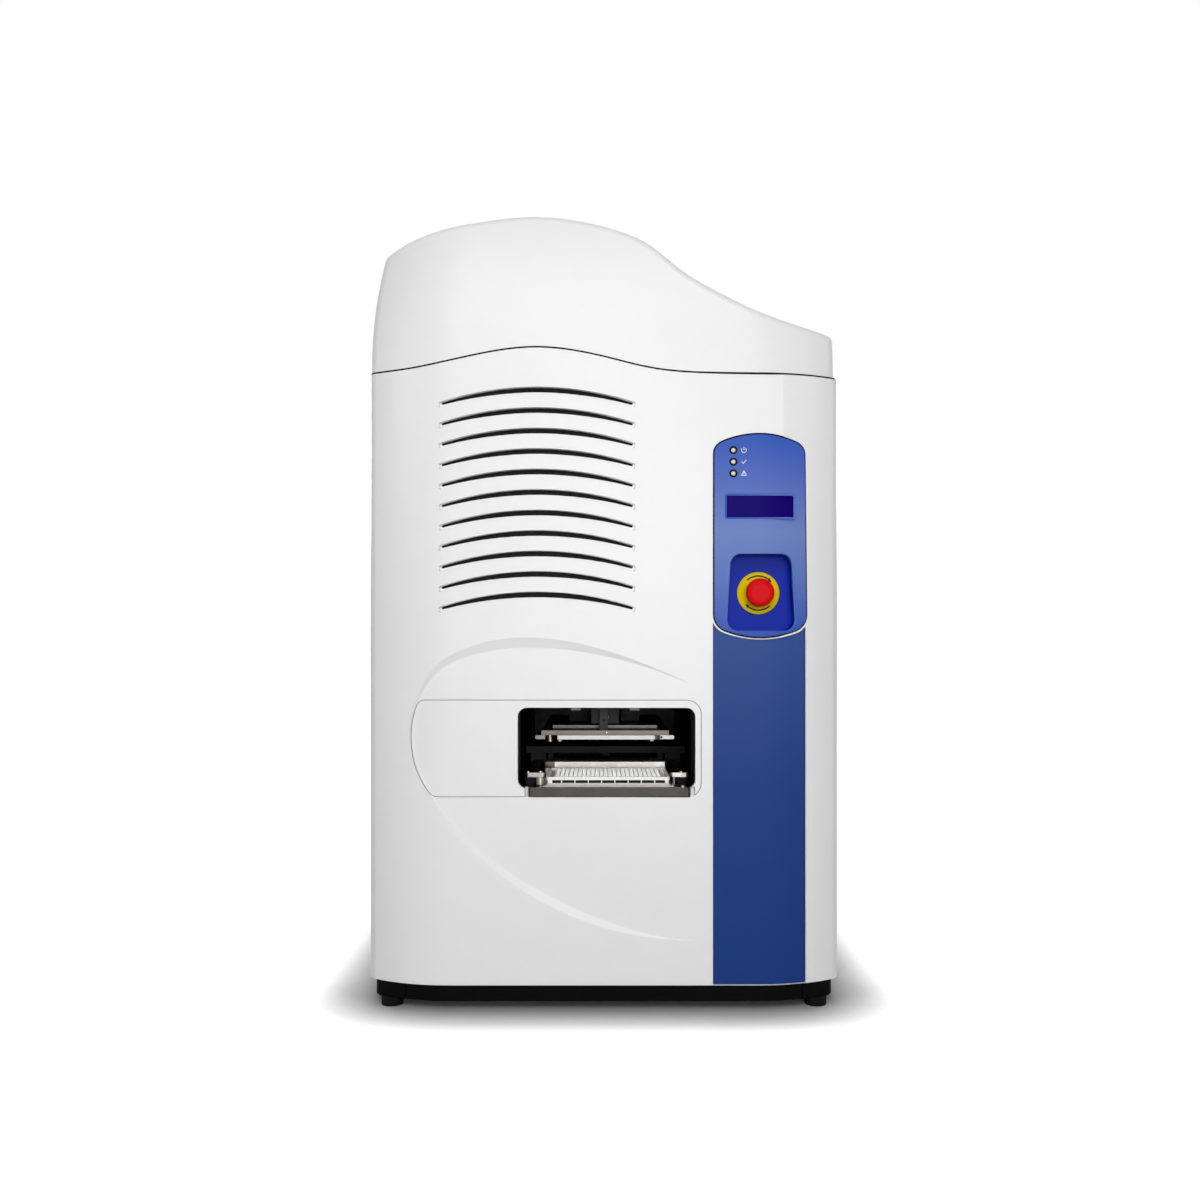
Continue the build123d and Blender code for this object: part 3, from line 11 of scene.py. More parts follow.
import bmesh
import bpy
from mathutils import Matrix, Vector


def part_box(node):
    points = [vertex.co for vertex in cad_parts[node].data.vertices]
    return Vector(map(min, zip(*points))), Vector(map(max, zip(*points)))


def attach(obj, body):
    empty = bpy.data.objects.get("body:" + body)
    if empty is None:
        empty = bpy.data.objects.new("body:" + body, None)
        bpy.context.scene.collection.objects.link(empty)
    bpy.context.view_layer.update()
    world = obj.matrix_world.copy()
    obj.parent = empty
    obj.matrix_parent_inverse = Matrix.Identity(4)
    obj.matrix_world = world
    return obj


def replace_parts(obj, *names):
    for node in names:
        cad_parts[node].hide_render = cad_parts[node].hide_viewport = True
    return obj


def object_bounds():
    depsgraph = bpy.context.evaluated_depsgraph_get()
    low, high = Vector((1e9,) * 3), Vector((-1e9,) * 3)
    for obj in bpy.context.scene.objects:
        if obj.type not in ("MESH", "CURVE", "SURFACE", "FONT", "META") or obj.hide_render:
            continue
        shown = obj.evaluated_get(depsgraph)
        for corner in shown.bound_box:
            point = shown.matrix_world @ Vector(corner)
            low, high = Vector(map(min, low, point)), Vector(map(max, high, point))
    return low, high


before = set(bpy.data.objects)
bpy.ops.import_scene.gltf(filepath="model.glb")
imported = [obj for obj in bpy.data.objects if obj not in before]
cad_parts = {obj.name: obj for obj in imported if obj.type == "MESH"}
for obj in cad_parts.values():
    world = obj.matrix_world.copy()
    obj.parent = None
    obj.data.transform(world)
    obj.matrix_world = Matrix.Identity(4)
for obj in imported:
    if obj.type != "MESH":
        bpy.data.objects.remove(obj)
cad_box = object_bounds()
MM = 0.001

# %% [markdown]
# ## Camera
# The camera stands straight ahead of the machine, a little above the middle of its slot, so that no side
# shows. It stays level, which keeps upright edges upright, and its shift, not a tilt, brings the machine
# to the middle of the frame. The lens is chosen so that one pixel of the frame covers one millimetre of
# the machine's front.

# %% Camera
FRONT_Y = cad_box[0].y
CAMERA_DISTANCE = 1.150
CAMERA_HEIGHT = 0.372
CAMERA_X = -0.004
FRAME_PIXELS = 1200
HORIZON_BELOW_MIDDLE = 40

camera_data = bpy.data.cameras.new("camera")
camera_data.sensor_width = 36.0
camera_data.lens = camera_data.sensor_width * CAMERA_DISTANCE / (FRAME_PIXELS * MM)
camera_data.shift_y = HORIZON_BELOW_MIDDLE / FRAME_PIXELS
camera = bpy.data.objects.new("camera", camera_data)
camera.location = (CAMERA_X, FRONT_Y - CAMERA_DISTANCE, CAMERA_HEIGHT)
camera.rotation_euler = (radians(90), 0, 0)
bpy.context.scene.collection.objects.link(camera)
bpy.context.scene.camera = camera
print("lens", round(camera_data.lens, 2), "mm")

# %% [markdown]
# ## Shader nodes
# Light and surfaces are both described by small trees of nodes. One helper adds a node with its settings
# and the values of its inputs in a single line. The world, the floor and every finish are built with it.


# %% Helper for nodes
def add_node(tree, kind, inputs=None, **settings):
    """A new shader node in a tree, with its settings and with values for inputs by name or number."""
    node = tree.nodes.new("ShaderNode" + kind)
    for key, value in settings.items():
        setattr(node, key, value)
    for key, value in (inputs or {}).items():
        node.inputs[key].default_value = value
    return node


print("node helper ready")

# %% [markdown]
# ## World
# The world fills in the light evenly, so that the sides come out darker than the front. It is white to
# the camera, to reflections and to rays that pass through glass, and only a weak fill to all others. That
# makes a white background without more light on the machine.

# %% World
FILL = 0.14
PURE_WHITE = (1, 1, 1, 1)
scene = bpy.context.scene
scene.view_settings.view_transform = "Standard"
world = bpy.data.worlds.new("studio")
scene.world = world
world.use_nodes = True
tree = world.node_tree
tree.nodes.clear()
rays = add_node(tree, "LightPath")
seen = add_node(tree, "Math", operation="ADD")
seen_through = add_node(tree, "Math", operation="ADD", use_clamp=True)
fill = add_node(tree, "Background", {"Color": PURE_WHITE, "Strength": FILL})
white = add_node(tree, "Background", {"Color": PURE_WHITE, "Strength": 1.0})
either = add_node(tree, "MixShader")
out = add_node(tree, "OutputWorld")
for start, end in (
    (rays.outputs["Is Camera Ray"], seen.inputs[0]),
    (rays.outputs["Is Glossy Ray"], seen.inputs[1]),
    (seen.outputs[0], seen_through.inputs[0]),
    (rays.outputs["Is Transmission Ray"], seen_through.inputs[1]),
    (seen_through.outputs[0], either.inputs["Fac"]),
    (fill.outputs[0], either.inputs[1]),
    (white.outputs[0], either.inputs[2]),
    (either.outputs[0], out.inputs["Surface"]),
):
    tree.links.new(start, end)
print("world has", len(tree.nodes), "nodes")

# %% [markdown]
# ## Lamps
# White plastic shows its form only where the light falls off. A large soft lamp above the front lights
# the face and reaches the plate through its window, and two more ahead give satin surfaces their soft
# haze. Two weak ones at the sides shape the stop button's pocket a little. Two behind light the back and
# the sides for anyone who walks round the machine, and hardly reach the front.


# %% Lamps
def soft_panel(name, place, aim, size, watts):
    """An area lamp, so wide and so high, at a place and turned to shine at a point."""
    lamp = bpy.data.lights.new(name, "AREA")
    lamp.shape = "RECTANGLE"
    lamp.size, lamp.size_y = size
    lamp.energy = watts
    holder = bpy.data.objects.new(name, lamp)
    holder.location = place
    holder.rotation_euler = (Vector(aim) - Vector(place)).to_track_quat("-Z", "Y").to_euler()
    scene.collection.objects.link(holder)


FACE = (0, FRONT_Y, 0.35)
soft_panel("overhead_panel", (-0.05, -2.3, 2.0), FACE, (0.9, 0.7), 12)
soft_panel("front_strip", (-0.02, -1.75, 0.72), (-0.02, FRONT_Y, 0.50), (0.45, 1.3), 8.4)
soft_panel("front_panel", (0.70, -4.0, 0.70), FACE, (1.0, 0.8), 25)
POCKET_SIDE = (0.15, FRONT_Y, 0.42)
soft_panel("left_panel", (-1.55, -1.6, 1.05), POCKET_SIDE, (0.30, 0.30), 2.4)
soft_panel("right_panel", (1.85, -1.6, 1.05), POCKET_SIDE, (0.30, 0.30), 2.0)
BODY_MIDDLE = (0, 0, 0.4)
soft_panel("left_rear_panel", (-2.2, 2.6, 1.2), BODY_MIDDLE, (0.8, 0.8), 15)
soft_panel("right_rear_panel", (2.2, 2.6, 1.2), BODY_MIDDLE, (0.8, 0.8), 15)

# %% [markdown]
# ## Floor
# The floor is a plain plane. Emission that only the camera and reflections see lifts it to the same white
# as the world, so that the two meet without an edge. An ambient occlusion node takes that emission away
# close to the machine, which leaves the dark contact shadow that a heavy machine has under it.

# %% Floor
FLOOR_REACH = 30.0
FLOOR_GREY = 0.42
SHADOW_REACH, SHADOW_DEPTH = 0.075, 4.5
floor_mesh = bpy.data.meshes.new("floor")
floor_corners = [(sx * FLOOR_REACH, sy * FLOOR_REACH, 0) for sx, sy in ((-1, -1), (1, -1), (1, 1), (-1, 1))]
floor_mesh.from_pydata(floor_corners, [], [(0, 1, 2, 3)])
floor = bpy.data.objects.new("floor", floor_mesh)
scene.collection.objects.link(floor)
floor_paint = bpy.data.materials.new("floor_white")
floor_paint.use_nodes = True
tree = floor_paint.node_tree
tree.nodes.clear()
matt = add_node(tree, "BsdfDiffuse", {"Color": (FLOOR_GREY, FLOOR_GREY, FLOOR_GREY, 1)})
lift = add_node(tree, "Emission", {"Color": PURE_WHITE})
rays = add_node(tree, "LightPath")
shown = add_node(tree, "Math", operation="MAXIMUM")
contact = add_node(tree, "AmbientOcclusion", {"Distance": SHADOW_REACH}, samples=16)
deeper = add_node(tree, "Math", {1: SHADOW_DEPTH}, operation="POWER")
strength = add_node(tree, "Math", operation="MULTIPLY")
both = add_node(tree, "AddShader")
out = add_node(tree, "OutputMaterial")
for start, end in (
    (rays.outputs["Is Camera Ray"], shown.inputs[0]),
    (rays.outputs["Is Glossy Ray"], shown.inputs[1]),
    (contact.outputs["AO"], deeper.inputs[0]),
    (shown.outputs[0], strength.inputs[0]),
    (deeper.outputs[0], strength.inputs[1]),
    (strength.outputs[0], lift.inputs["Strength"]),
    (matt.outputs[0], both.inputs[0]),
    (lift.outputs[0], both.inputs[1]),
    (both.outputs[0], out.inputs["Surface"]),
):
    tree.links.new(start, end)
floor_mesh.materials.append(floor_paint)
print("floor laid,", 2 * FLOOR_REACH, "m across")

# %% [markdown]
# ## How a finish is made
# Every finish starts from one Principled shader. A noise texture moves its colour and roughness a little,
# because no real surface is even, and a second, finer one feeds a bump: the orange peel of a moulding,
# the grain of a powder coat, or, stretched along one axis, the lines of brushed metal. Coordinates are
# the object's own, in metres, so a scale of 1000 means one feature per millimetre.


# %% Helpers for finishes
def start_finish(name, colour, roughness, metallic=0.0):
    """A new material with one Principled shader: (material, shader, texture coordinate)."""
    material = bpy.data.materials.new(name)
    material.use_nodes = True
    shader = material.node_tree.nodes["Principled BSDF"]
    shader.inputs["Base Color"].default_value = (*colour, 1)
    shader.inputs["Roughness"].default_value = roughness
    shader.inputs["Metallic"].default_value = metallic
    where = add_node(material.node_tree, "TexCoord")
    return material, shader, where.outputs["Object"]


def noise(material, where, scale, detail=3.0, stretch=(1, 1, 1)):
    """A noise texture's factor: features about 1/scale metres wide, drawn out where a stretch is small."""
    tree = material.node_tree
    mapping = add_node(tree, "Mapping", {"Scale": stretch})
    texture = add_node(tree, "TexNoise", {"Scale": scale, "Detail": detail})
    tree.links.new(where, mapping.inputs["Vector"])
    tree.links.new(mapping.outputs["Vector"], texture.inputs["Vector"])
    return texture.outputs["Fac"]


def spread(material, factor, low, high):
    """A factor's middle range brought to a span from low to high."""
    span = {"From Min": 0.3, "From Max": 0.7, "To Min": low, "To Max": high}
    node = add_node(material.node_tree, "MapRange", span)
    material.node_tree.links.new(factor, node.inputs["Value"])
    return node.outputs["Result"]


def mix_colours(material, factor, first, second):
    """A colour between two by a factor. Each is a colour or another node's output, on inputs 6 and 7."""
    tree = material.node_tree
    mix = add_node(tree, "Mix", data_type="RGBA")
    tree.links.new(factor, mix.inputs[0])
    for number, colour in ((6, first), (7, second)):
        if isinstance(colour, bpy.types.NodeSocket):
            tree.links.new(colour, mix.inputs[number])
        else:
            mix.inputs[number].default_value = (*colour, 1)
    return mix.outputs[2]


def vary_colour(material, shader, factor, colour, amount):
    """The base colour, a little darker and lighter by the factor."""
    darker = [c * (1 - amount) for c in colour]
    lighter = [min(1, c * (1 + amount)) for c in colour]
    mixed = mix_colours(material, spread(material, factor, 0, 1), darker, lighter)
    material.node_tree.links.new(mixed, shader.inputs["Base Color"])


def add_bump(material, shader, height, depth, rounded=0.0):
    """A bump that many metres deep, on top of edges rounded by a small radius."""
    tree = material.node_tree
    bump = add_node(tree, "Bump", {"Distance": depth, "Strength": 1.0})
    tree.links.new(height, bump.inputs["Height"])
    if rounded:
        edge = add_node(tree, "Bevel", {"Radius": rounded}, samples=4)
        tree.links.new(edge.outputs["Normal"], bump.inputs["Normal"])
    tree.links.new(bump.outputs["Normal"], shader.inputs["Normal"])


def grained(name, colour, roughness, grain, depth, metallic=0.0, tint=0.02, stretch=(1, 1, 1),
            rounded=0.0, gloss=0.5):
    """The common finish: an even material whose colour, roughness and surface vary as its grain does."""
    material, shader, where = start_finish(name, colour, roughness, metallic)
    shader.inputs["Specular IOR Level"].default_value = gloss
    broad = noise(material, where, grain / 40, 2.0)
    fine = noise(material, where, grain, 3.0, stretch)
    vary_colour(material, shader, broad, colour, tint)
    uneven = spread(material, fine, roughness - 0.04, roughness + 0.04)
    material.node_tree.links.new(uneven, shader.inputs["Roughness"])
    add_bump(material, shader, fine, depth, rounded)
    return material


# Painted shade: the black that narrow gaps, seams and creases go to.
GAP_SHADE_BLACK = (0.004, 0.004, 0.004)


def paint_gap_shade(material, reach):
    """Painted shade: the colour goes dark where an ambient occlusion node finds other surfaces within a
    short reach.
    """
    tree = material.node_tree
    shader = tree.nodes["Principled BSDF"]
    hidden = add_node(tree, "AmbientOcclusion", {"Distance": reach}, samples=8)
    open_part = add_node(tree, "MapRange", {"From Min": 0.12, "From Max": 0.55})
    tree.links.new(hidden.outputs["AO"], open_part.inputs["Value"])
    present = shader.inputs["Base Color"].links[0].from_socket
    mixed = mix_colours(material, open_part.outputs["Result"], GAP_SHADE_BLACK, present)
    tree.links.new(mixed, shader.inputs["Base Color"])


def paint(finish, *nodes):
    """Give nodes of the frame their finish."""
    for node in nodes:
        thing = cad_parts[node]
        thing.data.materials.clear()
        thing.data.materials.append(finish)


print("finish helpers ready")

# %% [markdown]
# ## White shells
# The fascia, cover and bezel are moulded in white with a fine satin grain, with shade painted into their
# narrow gaps and seams. The side and rear panels are sheet steel in a powder coat, which has a coarser,
# softer texture and is a shade greyer.

# %% White shells
WHITE = (0.83, 0.83, 0.83)
white_moulded = grained("white_moulded", WHITE, 0.36, 1800, 0.00001, tint=0.006, rounded=0.0009, gloss=0.5)
white_coated = grained("white_powder_coat", (0.80, 0.80, 0.80), 0.5, 900, 0.00003, tint=0.01, rounded=0.0005)
GAP_SHADE_REACH = 3 * MM
# Painted shade in the white moulding's gaps and seams.
paint_gap_shade(white_moulded, GAP_SHADE_REACH)
paint(white_moulded, "front_fascia", "top_cover", "access_bezel")
paint(white_coated, "left_side_panel", "right_side_panel", "rear_panel")
print("white shells painted")

# %% [markdown]
# ## Blue panel and stripe
# Both are moulded in colour with a satin surface. Light is painted into the panel's colour: a painted sheen
# makes it hazy round the lamps, between clear blue at its top and deep blue at its foot, and painted shade
# makes it darker inside the button's pocket. The stripe has painted light too, lighter at its top and darker
# at its foot. The object's own height drives a colour ramp, so the gradient stays on the panel from any
# side, and the depth inside the pocket drives the painted shade.

# %% Blue panel
PANEL_BLUE = (0.006, 0.048, 0.40)
# Painted sheen: the blue is lighter round the panel's middle height, where a glossy haze would be.
PANEL_PAINTED_SHEEN = (
    (0.0, (0.030, 0.085, 0.44)), (0.10, (0.065, 0.125, 0.47)), (0.32, (0.125, 0.195, 0.52)),
    (0.52, (0.165, 0.240, 0.56)), (0.72, (0.105, 0.170, 0.53)), (1.0, (0.032, 0.095, 0.48)),
)
# Painted shade: the deeper blue inside the stop button's pocket.
POCKET_PAINTED_SHADE = (0.000, 0.018, 0.38)
STRIPE_BLUE = (0.026, 0.066, 0.262)
# Painted light: the stripe lighter at its top and darker at its foot.
STRIPE_PAINTED_LIGHT = ((0.0, (0.012, 0.046, 0.215)), (0.55, (0.020, 0.056, 0.240)), (1.0, (0.042, 0.088, 0.30)))
panel_low, panel_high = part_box("control_panel")


def paint_light_by_height(material, shades, low, high, sunk=None):
    """Painted light: a base colour that runs through shades by height, and to a painted shade between two
    depths.
    """
    tree = material.node_tree
    where = add_node(tree, "TexCoord")
    axes = add_node(tree, "SeparateXYZ")
    height = add_node(tree, "MapRange", {"From Min": low, "From Max": high})
    ramp = add_node(tree, "ValToRGB")
    for n, (place, colour) in enumerate(shades):
        stop = ramp.color_ramp.elements[n] if n < 2 else ramp.color_ramp.elements.new(place)
        stop.position = place
        stop.color = (*colour, 1)
    tree.links.new(where.outputs["Object"], axes.inputs[0])
    tree.links.new(axes.outputs["Z"], height.inputs["Value"])
    tree.links.new(height.outputs["Result"], ramp.inputs["Fac"])
    shade = ramp.outputs["Color"]
    if sunk:
        sunk_shade_colour, near, far = sunk
        depth = add_node(tree, "MapRange", {"From Min": near, "From Max": far})
        tree.links.new(axes.outputs["Y"], depth.inputs["Value"])
        shade = mix_colours(material, depth.outputs["Result"], shade, sunk_shade_colour)
    tree.links.new(shade, tree.nodes["Principled BSDF"].inputs["Base Color"])


panel_blue = grained("panel_blue", PANEL_BLUE, 0.34, 2500, 0.000004, tint=0.03, rounded=0.0008, gloss=0.06)
POCKET_SHADE_FROM, POCKET_SHADE_TO = FRONT_Y + 9 * MM, FRONT_Y + 13 * MM
# Painted sheen by height, and painted shade inside the pocket.
paint_light_by_height(panel_blue, PANEL_PAINTED_SHEEN, panel_low.z, panel_high.z, (POCKET_PAINTED_SHADE, POCKET_SHADE_FROM, POCKET_SHADE_TO))
# Painted shade in the gap round the panel and in its creases.
paint_gap_shade(panel_blue, GAP_SHADE_REACH)
stripe_blue = grained("stripe_blue", STRIPE_BLUE, 0.45, 2500, 0.000006, tint=0.03, rounded=0.0008,
                      gloss=0.06)
stripe_low, stripe_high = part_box("stripe_panel")
# Painted light by height on the stripe.
paint_light_by_height(stripe_blue, STRIPE_PAINTED_LIGHT, stripe_low.z, stripe_high.z)
paint(panel_blue, "control_panel")
paint(stripe_blue, "stripe_panel")
display_dark = grained("display_glass", (0.009, 0.0012, 0.150), 0.35, 4000, 0.000002, tint=0.04, gloss=0.02)
paint(display_dark, "display_module")
print("panel, stripe and display painted")

# %% [markdown]
# ## Plastics, rubber and foam
# The base, gasket, feet and switch parts are near black, but each reflects in its own way: the base has a
# fine satin texture, rubber is matt with a faint bloom, and the foam behind the louvres is full of open
# cells.

# %% Dark plastics
base_black = grained("base_black", (0.0025, 0.0025, 0.0025), 0.5, 1500, 0.00002, tint=0.15,
                     rounded=0.0008, gloss=0.03)
fine_black = grained("fine_black", (0.014, 0.014, 0.016), 0.5, 2500, 0.00001, tint=0.15,
                     rounded=0.0004, gloss=0.3)
rubber_black = grained("rubber_black", (0.005, 0.005, 0.005), 0.75, 1200, 0.00003, tint=0.2,
                       rounded=0.0006, gloss=0.08)
paint(base_black, "base_skirt", "base_corners")
paint(rubber_black, "feet", "cover_gasket")
paint(fine_black, "estop_bush", "estop_stem", "fan_frames", "fan_rotor_left", "fan_rotor_right",
      "rear_connectors", "power_switch", "coupling_pump", "source_motor", "upper_motor")


def foam(name):
    """Open-cell foam: round cells from a Voronoi texture, with painted shade at their bottoms."""
    material, shader, where = start_finish(name, (0.01, 0.01, 0.01), 0.95)
    cells = add_node(material.node_tree, "TexVoronoi", {"Scale": 700})
    material.node_tree.links.new(where, cells.inputs["Vector"])
    # Painted shade at the bottoms of the cells.
    vary_colour(material, shader, cells.outputs["Distance"], (0.012, 0.012, 0.012), 0.6)
    add_bump(material, shader, cells.outputs["Distance"], 0.0006)
    return material


paint(foam("filter_foam"), "vent_filter")
print("base, rubber and foam painted")

# %% [markdown]
# ## Stop button's colours
# Red and yellow are the colours that a stop button has on every machine. Both are moulded through, in
# satin plastic.

# %% Stop button's colours
stop_red = grained("stop_red", (0.70, 0.003, 0.006), 0.4, 2500, 0.000006, tint=0.03, rounded=0.0006,
                   gloss=0.06)
stop_yellow = grained("stop_yellow", (0.82, 0.60, 0.003), 0.42, 2500, 0.000006, tint=0.03, gloss=0.0)
paint(stop_red, "estop_button")
paint(stop_yellow, "estop_legend")
print("stop button painted")

# %% [markdown]
# ## Metals
# Milled and anodised parts have a fine even grain, rods and screws are polished, and the sheet steel
# inside is brushed along its length, which a noise texture drawn out along one axis shows. A table then
# says which nodes get which metal.

# %% Metals
clear_anodised = grained("clear_anodised", (0.25, 0.243, 0.23), 0.36, 3000, 0.000008, metallic=1.0,
                         tint=0.06, stretch=(0.05, 1, 1), rounded=0.0004)
dark_anodised = grained("dark_anodised", (0.012, 0.012, 0.012), 0.45, 3000, 0.000008, metallic=0.6,
                        tint=0.12, rounded=0.0004, gloss=0.2)
bright_brushed = grained("bright_brushed", (0.36, 0.345, 0.325), 0.3, 2600, 0.000012, metallic=1.0,
                         tint=0.12, stretch=(0.04, 1, 1), rounded=0.0004)
tray_grey = grained("tray_grey", (0.037, 0.033, 0.030), 0.36, 2600, 0.000012, metallic=0.85,
                    tint=0.12, stretch=(0.04, 1, 1), rounded=0.0005)
bronze_anodised = grained("bronze_anodised", (0.095, 0.086, 0.078), 0.38, 2600, 0.00001, metallic=0.9,
                          tint=0.1, stretch=(0.05, 1, 1), rounded=0.0004)
polished_steel = grained("polished_steel", (0.55, 0.55, 0.56), 0.18, 4000, 0.000003, metallic=1.0,
                         tint=0.04, rounded=0.0003)
zinc_steel = grained("zinc_steel", (0.50, 0.51, 0.52), 0.38, 900, 0.00001, metallic=1.0, tint=0.12,
                     rounded=0.0004)
frame_grey = grained("frame_grey", (0.035, 0.035, 0.037), 0.5, 1100, 0.00003, tint=0.1, rounded=0.0005)
brass = grained("turned_brass", (0.50, 0.36, 0.24), 0.38, 3000, 0.00001, metallic=1.0, tint=0.08,
                rounded=0.0003)
jaw_grey = grained("jaw_grey", (0.13, 0.118, 0.105), 0.38, 3000, 0.000008, metallic=1.0, tint=0.08,
                   rounded=0.0004)
rail_steel = grained("rail_steel", (0.070, 0.066, 0.062), 0.34, 3000, 0.000006, metallic=0.9,
                     tint=0.08, rounded=0.0004)
METAL_NODES = {
    clear_anodised: ("clamp_lever", "door_cylinder", "gripper_frame", "gripper_jaw_right", "transducer"),
    jaw_grey: ("gripper_jaw_left",),
    rail_steel: ("upper_rails", "source_screw", "upper_screw"),
    bright_brushed: ("plate_nest",),
    dark_anodised: ("access_door", "deck_plate", "door_guides", "source_carriage", "source_rails",
                    "upper_bearing_blocks", "upper_bridge", "source_screw_mounts", "upper_screw_mounts"),
    tray_grey: ("source_tray",),
    bronze_anodised: ("upper_carriage",),
    polished_steel: ("clamp_post", "door_rod"),
    zinc_steel: ("fan_guards", "panel_standoffs", "power_supply"),
    frame_grey: ("base_plate", "chamber_liner", "chassis_frame"),
    brass: ("locating_plunger",),
}
for finish, members in METAL_NODES.items():
    paint(finish, *members)
print("metal nodes painted:", sum(len(members) for members in METAL_NODES.values()))

# %% [markdown]
# ## Inner fittings
# What is left is the plate, the circuit board, the fluid bottle and the lenses. After this cell no node
# may be without a finish, so the cell prints the names of those that are.

# %% Inner fittings
plate_plastic = grained("plate_plastic", (0.80, 0.80, 0.79), 0.3, 2500, 0.000004, tint=0.01)
board_green = grained("board_green", (0.012, 0.09, 0.035), 0.4, 1200, 0.00002, tint=0.1)
bottle_plastic = grained("bottle_plastic", (0.75, 0.78, 0.80), 0.35, 1500, 0.00001, tint=0.02)
led_clear = grained("led_clear", (0.80, 0.76, 0.68), 0.2, 2500, 0.000004, tint=0.02)
paint(plate_plastic, "microplate")
paint(board_green, "controller_board")
paint(bottle_plastic, "fluid_bottle")
paint(led_clear, "led_lenses")
unpainted = [name for name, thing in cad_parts.items()
             if not thing.data.materials or thing.data.materials[0] is None]
print("nodes without a finish:", unpainted)

# %% [markdown]
# ## How a small piece is made
# The solid model leaves out screws, lamp bezels and the like. Three helpers make them. Each adds one
# closed shape to a bmesh, Blender's editable mesh: spin turns a profile for turned parts, sweep carries a
# section along a path for mouldings, and stack raises an outline through a series of insets for flat
# parts. A fourth one, finished, makes an object of the bmesh that rides on a body of the frame.


# %% Helpers for pieces
FRONT = Vector((0, -1, 0))
UP = Vector((0, 0, 1))


def spin(mesh, profile, place, axis, steps=24):
    """Turn a profile of (radius, height) points round an axis. A third value of 6 makes a ring a hexagon."""
    across = axis.orthogonal().normalized()
    sideways = axis.cross(across)
    rings = []
    for radius, height, *sides in profile:
        ring = []
        for step in range(steps if radius else 1):
            angle = tau * step / steps
            flat = pi / sides[0] if sides else 0     # half the angle that one flat side spans
            reach = radius * cos(flat) / cos(angle % (2 * flat) - flat) if sides else radius
            outward = across * cos(angle) + sideways * sin(angle)
            ring.append(mesh.verts.new(place + axis * height + reach * outward))
        rings.append(ring)
    for lower, upper in zip(rings, rings[1:]):
        for step in range(steps):
            corners = [lower[step % len(lower)], lower[(step + 1) % len(lower)]]
            corners += [upper[(step + 1) % len(upper)], upper[step % len(upper)]]
            mesh.faces.new(list(dict.fromkeys(corners)))
    for end in (rings[0], rings[-1]):
        if len(end) > 1:
            mesh.faces.new(end)


def sweep(mesh, path, section, front=FRONT, closed=False):
    """Carry a section of (sideways, forward) points along a path that runs across the front direction."""
    rings = []
    for index, point in enumerate(path):
        before = path[index - 1] if index or closed else None
        after = path[(index + 1) % len(path)] if index + 1 < len(path) or closed else None
        arriving = (point - before).normalized() if before else (after - point).normalized()
        leaving = (after - point).normalized() if after else arriving
        along = (arriving + leaving).normalized()
        side = along.cross(front).normalized() / max(0.4, along.dot(arriving))
        rings.append([mesh.verts.new(point + side * s + front * f) for s, f in section])
    pairs = list(zip(rings, rings[1:])) + ([(rings[-1], rings[0])] if closed else [])
    for first, second in pairs:
        for n in range(len(section)):
            m = (n + 1) % len(section)
            mesh.faces.new((first[n], first[m], second[m], second[n]))
    if not closed:
        mesh.faces.new(rings[0])
        mesh.faces.new(rings[-1])


def rounded_rectangle(width, height, corner, steps=6):
    """The points of a rounded rectangle round (0, 0), the same number whatever its corner."""
    points = []
    for quarter, (sx, sy) in enumerate(((1, 1), (-1, 1), (-1, -1), (1, -1))):
        for step in range(steps + 1):
            angle = pi / 2 * (quarter + step / steps)
            x = sx * (width / 2 - corner) + corner * cos(angle)
            points.append((x, sy * (height / 2 - corner) + corner * sin(angle)))
    return points


def stack(mesh, place, width, height, corner, levels, front=UP, right=Vector((1, 0, 0))):
    """A rounded block raised through (inset, level) pairs along the front direction, closed at both ends."""
    upward = front.cross(right)
    rings = []
    for inset, level in levels:
        outline = rounded_rectangle(width - 2 * inset, height - 2 * inset, max(corner - inset, 0.0002))
        rings.append([mesh.verts.new(place + right * u + upward * v + front * level) for u, v in outline])
    walls = []
    for lower, upper in zip(rings, rings[1:]):
        for n in range(len(lower)):
            m = (n + 1) % len(lower)
            walls.append(mesh.faces.new((lower[n], lower[m], upper[m], upper[n])))
    return walls, [mesh.faces.new(rings[0]), mesh.faces.new(rings[-1])]


def finished(name, mesh, finish, body, sharp=35):
    """The finished bmesh as an object with its finish, riding on a body."""
    bmesh.ops.recalc_face_normals(mesh, faces=mesh.faces)
    data = bpy.data.meshes.new(name)
    mesh.to_mesh(data)
    mesh.free()
    for material in finish if isinstance(finish, tuple) else (finish,):
        data.materials.append(material)
    data.shade_smooth()
    data.set_sharp_from_angle(angle=radians(sharp))
    thing = bpy.data.objects.new(name, data)
    scene.collection.objects.link(thing)
    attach(thing, body)
    print(name, "has", len(data.polygons), "faces")
    return thing


def mm(*points):
    """Points given in millimetres, as points in metres."""
    return [tuple(value * MM for value in point) for point in points]


def middle(node):
    """The middle of a node's box."""
    low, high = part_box(node)
    return (low + high) / 2


print("piece helpers ready")

# %% [markdown]
# ## Panel outline
# The control panel has straight sides that flare a little to the foot, a bowed top and foot, and round
# corners. Its outline is worked out from those sizes, once, so that the black piece of painted gap shade
# round it can follow it. The front is flat in its middle and sweeps back to the right, so every point also
# needs its depth.

# %% Panel outline
PANEL_FACE_Y = FRONT_Y + 0.5 * MM
PANEL_FLARE, SHOULDER = 2.2 * MM, 12 * MM
FLAT_HALF, FRONT_SWEEP = 155 * MM, 146.2 * MM
FACET_FROM, FACET_TO, FACET_DROP = 96 * MM, 180 * MM, 2.15 * MM
GAP_SHADE_PROUD = 0.08 * MM


def swept_back(x):
    """How far the front has swept back at an x, beyond the end of its flat middle."""
    return FRONT_SWEEP - (FRONT_SWEEP ** 2 - max(0, x - FLAT_HALF) ** 2) ** 0.5


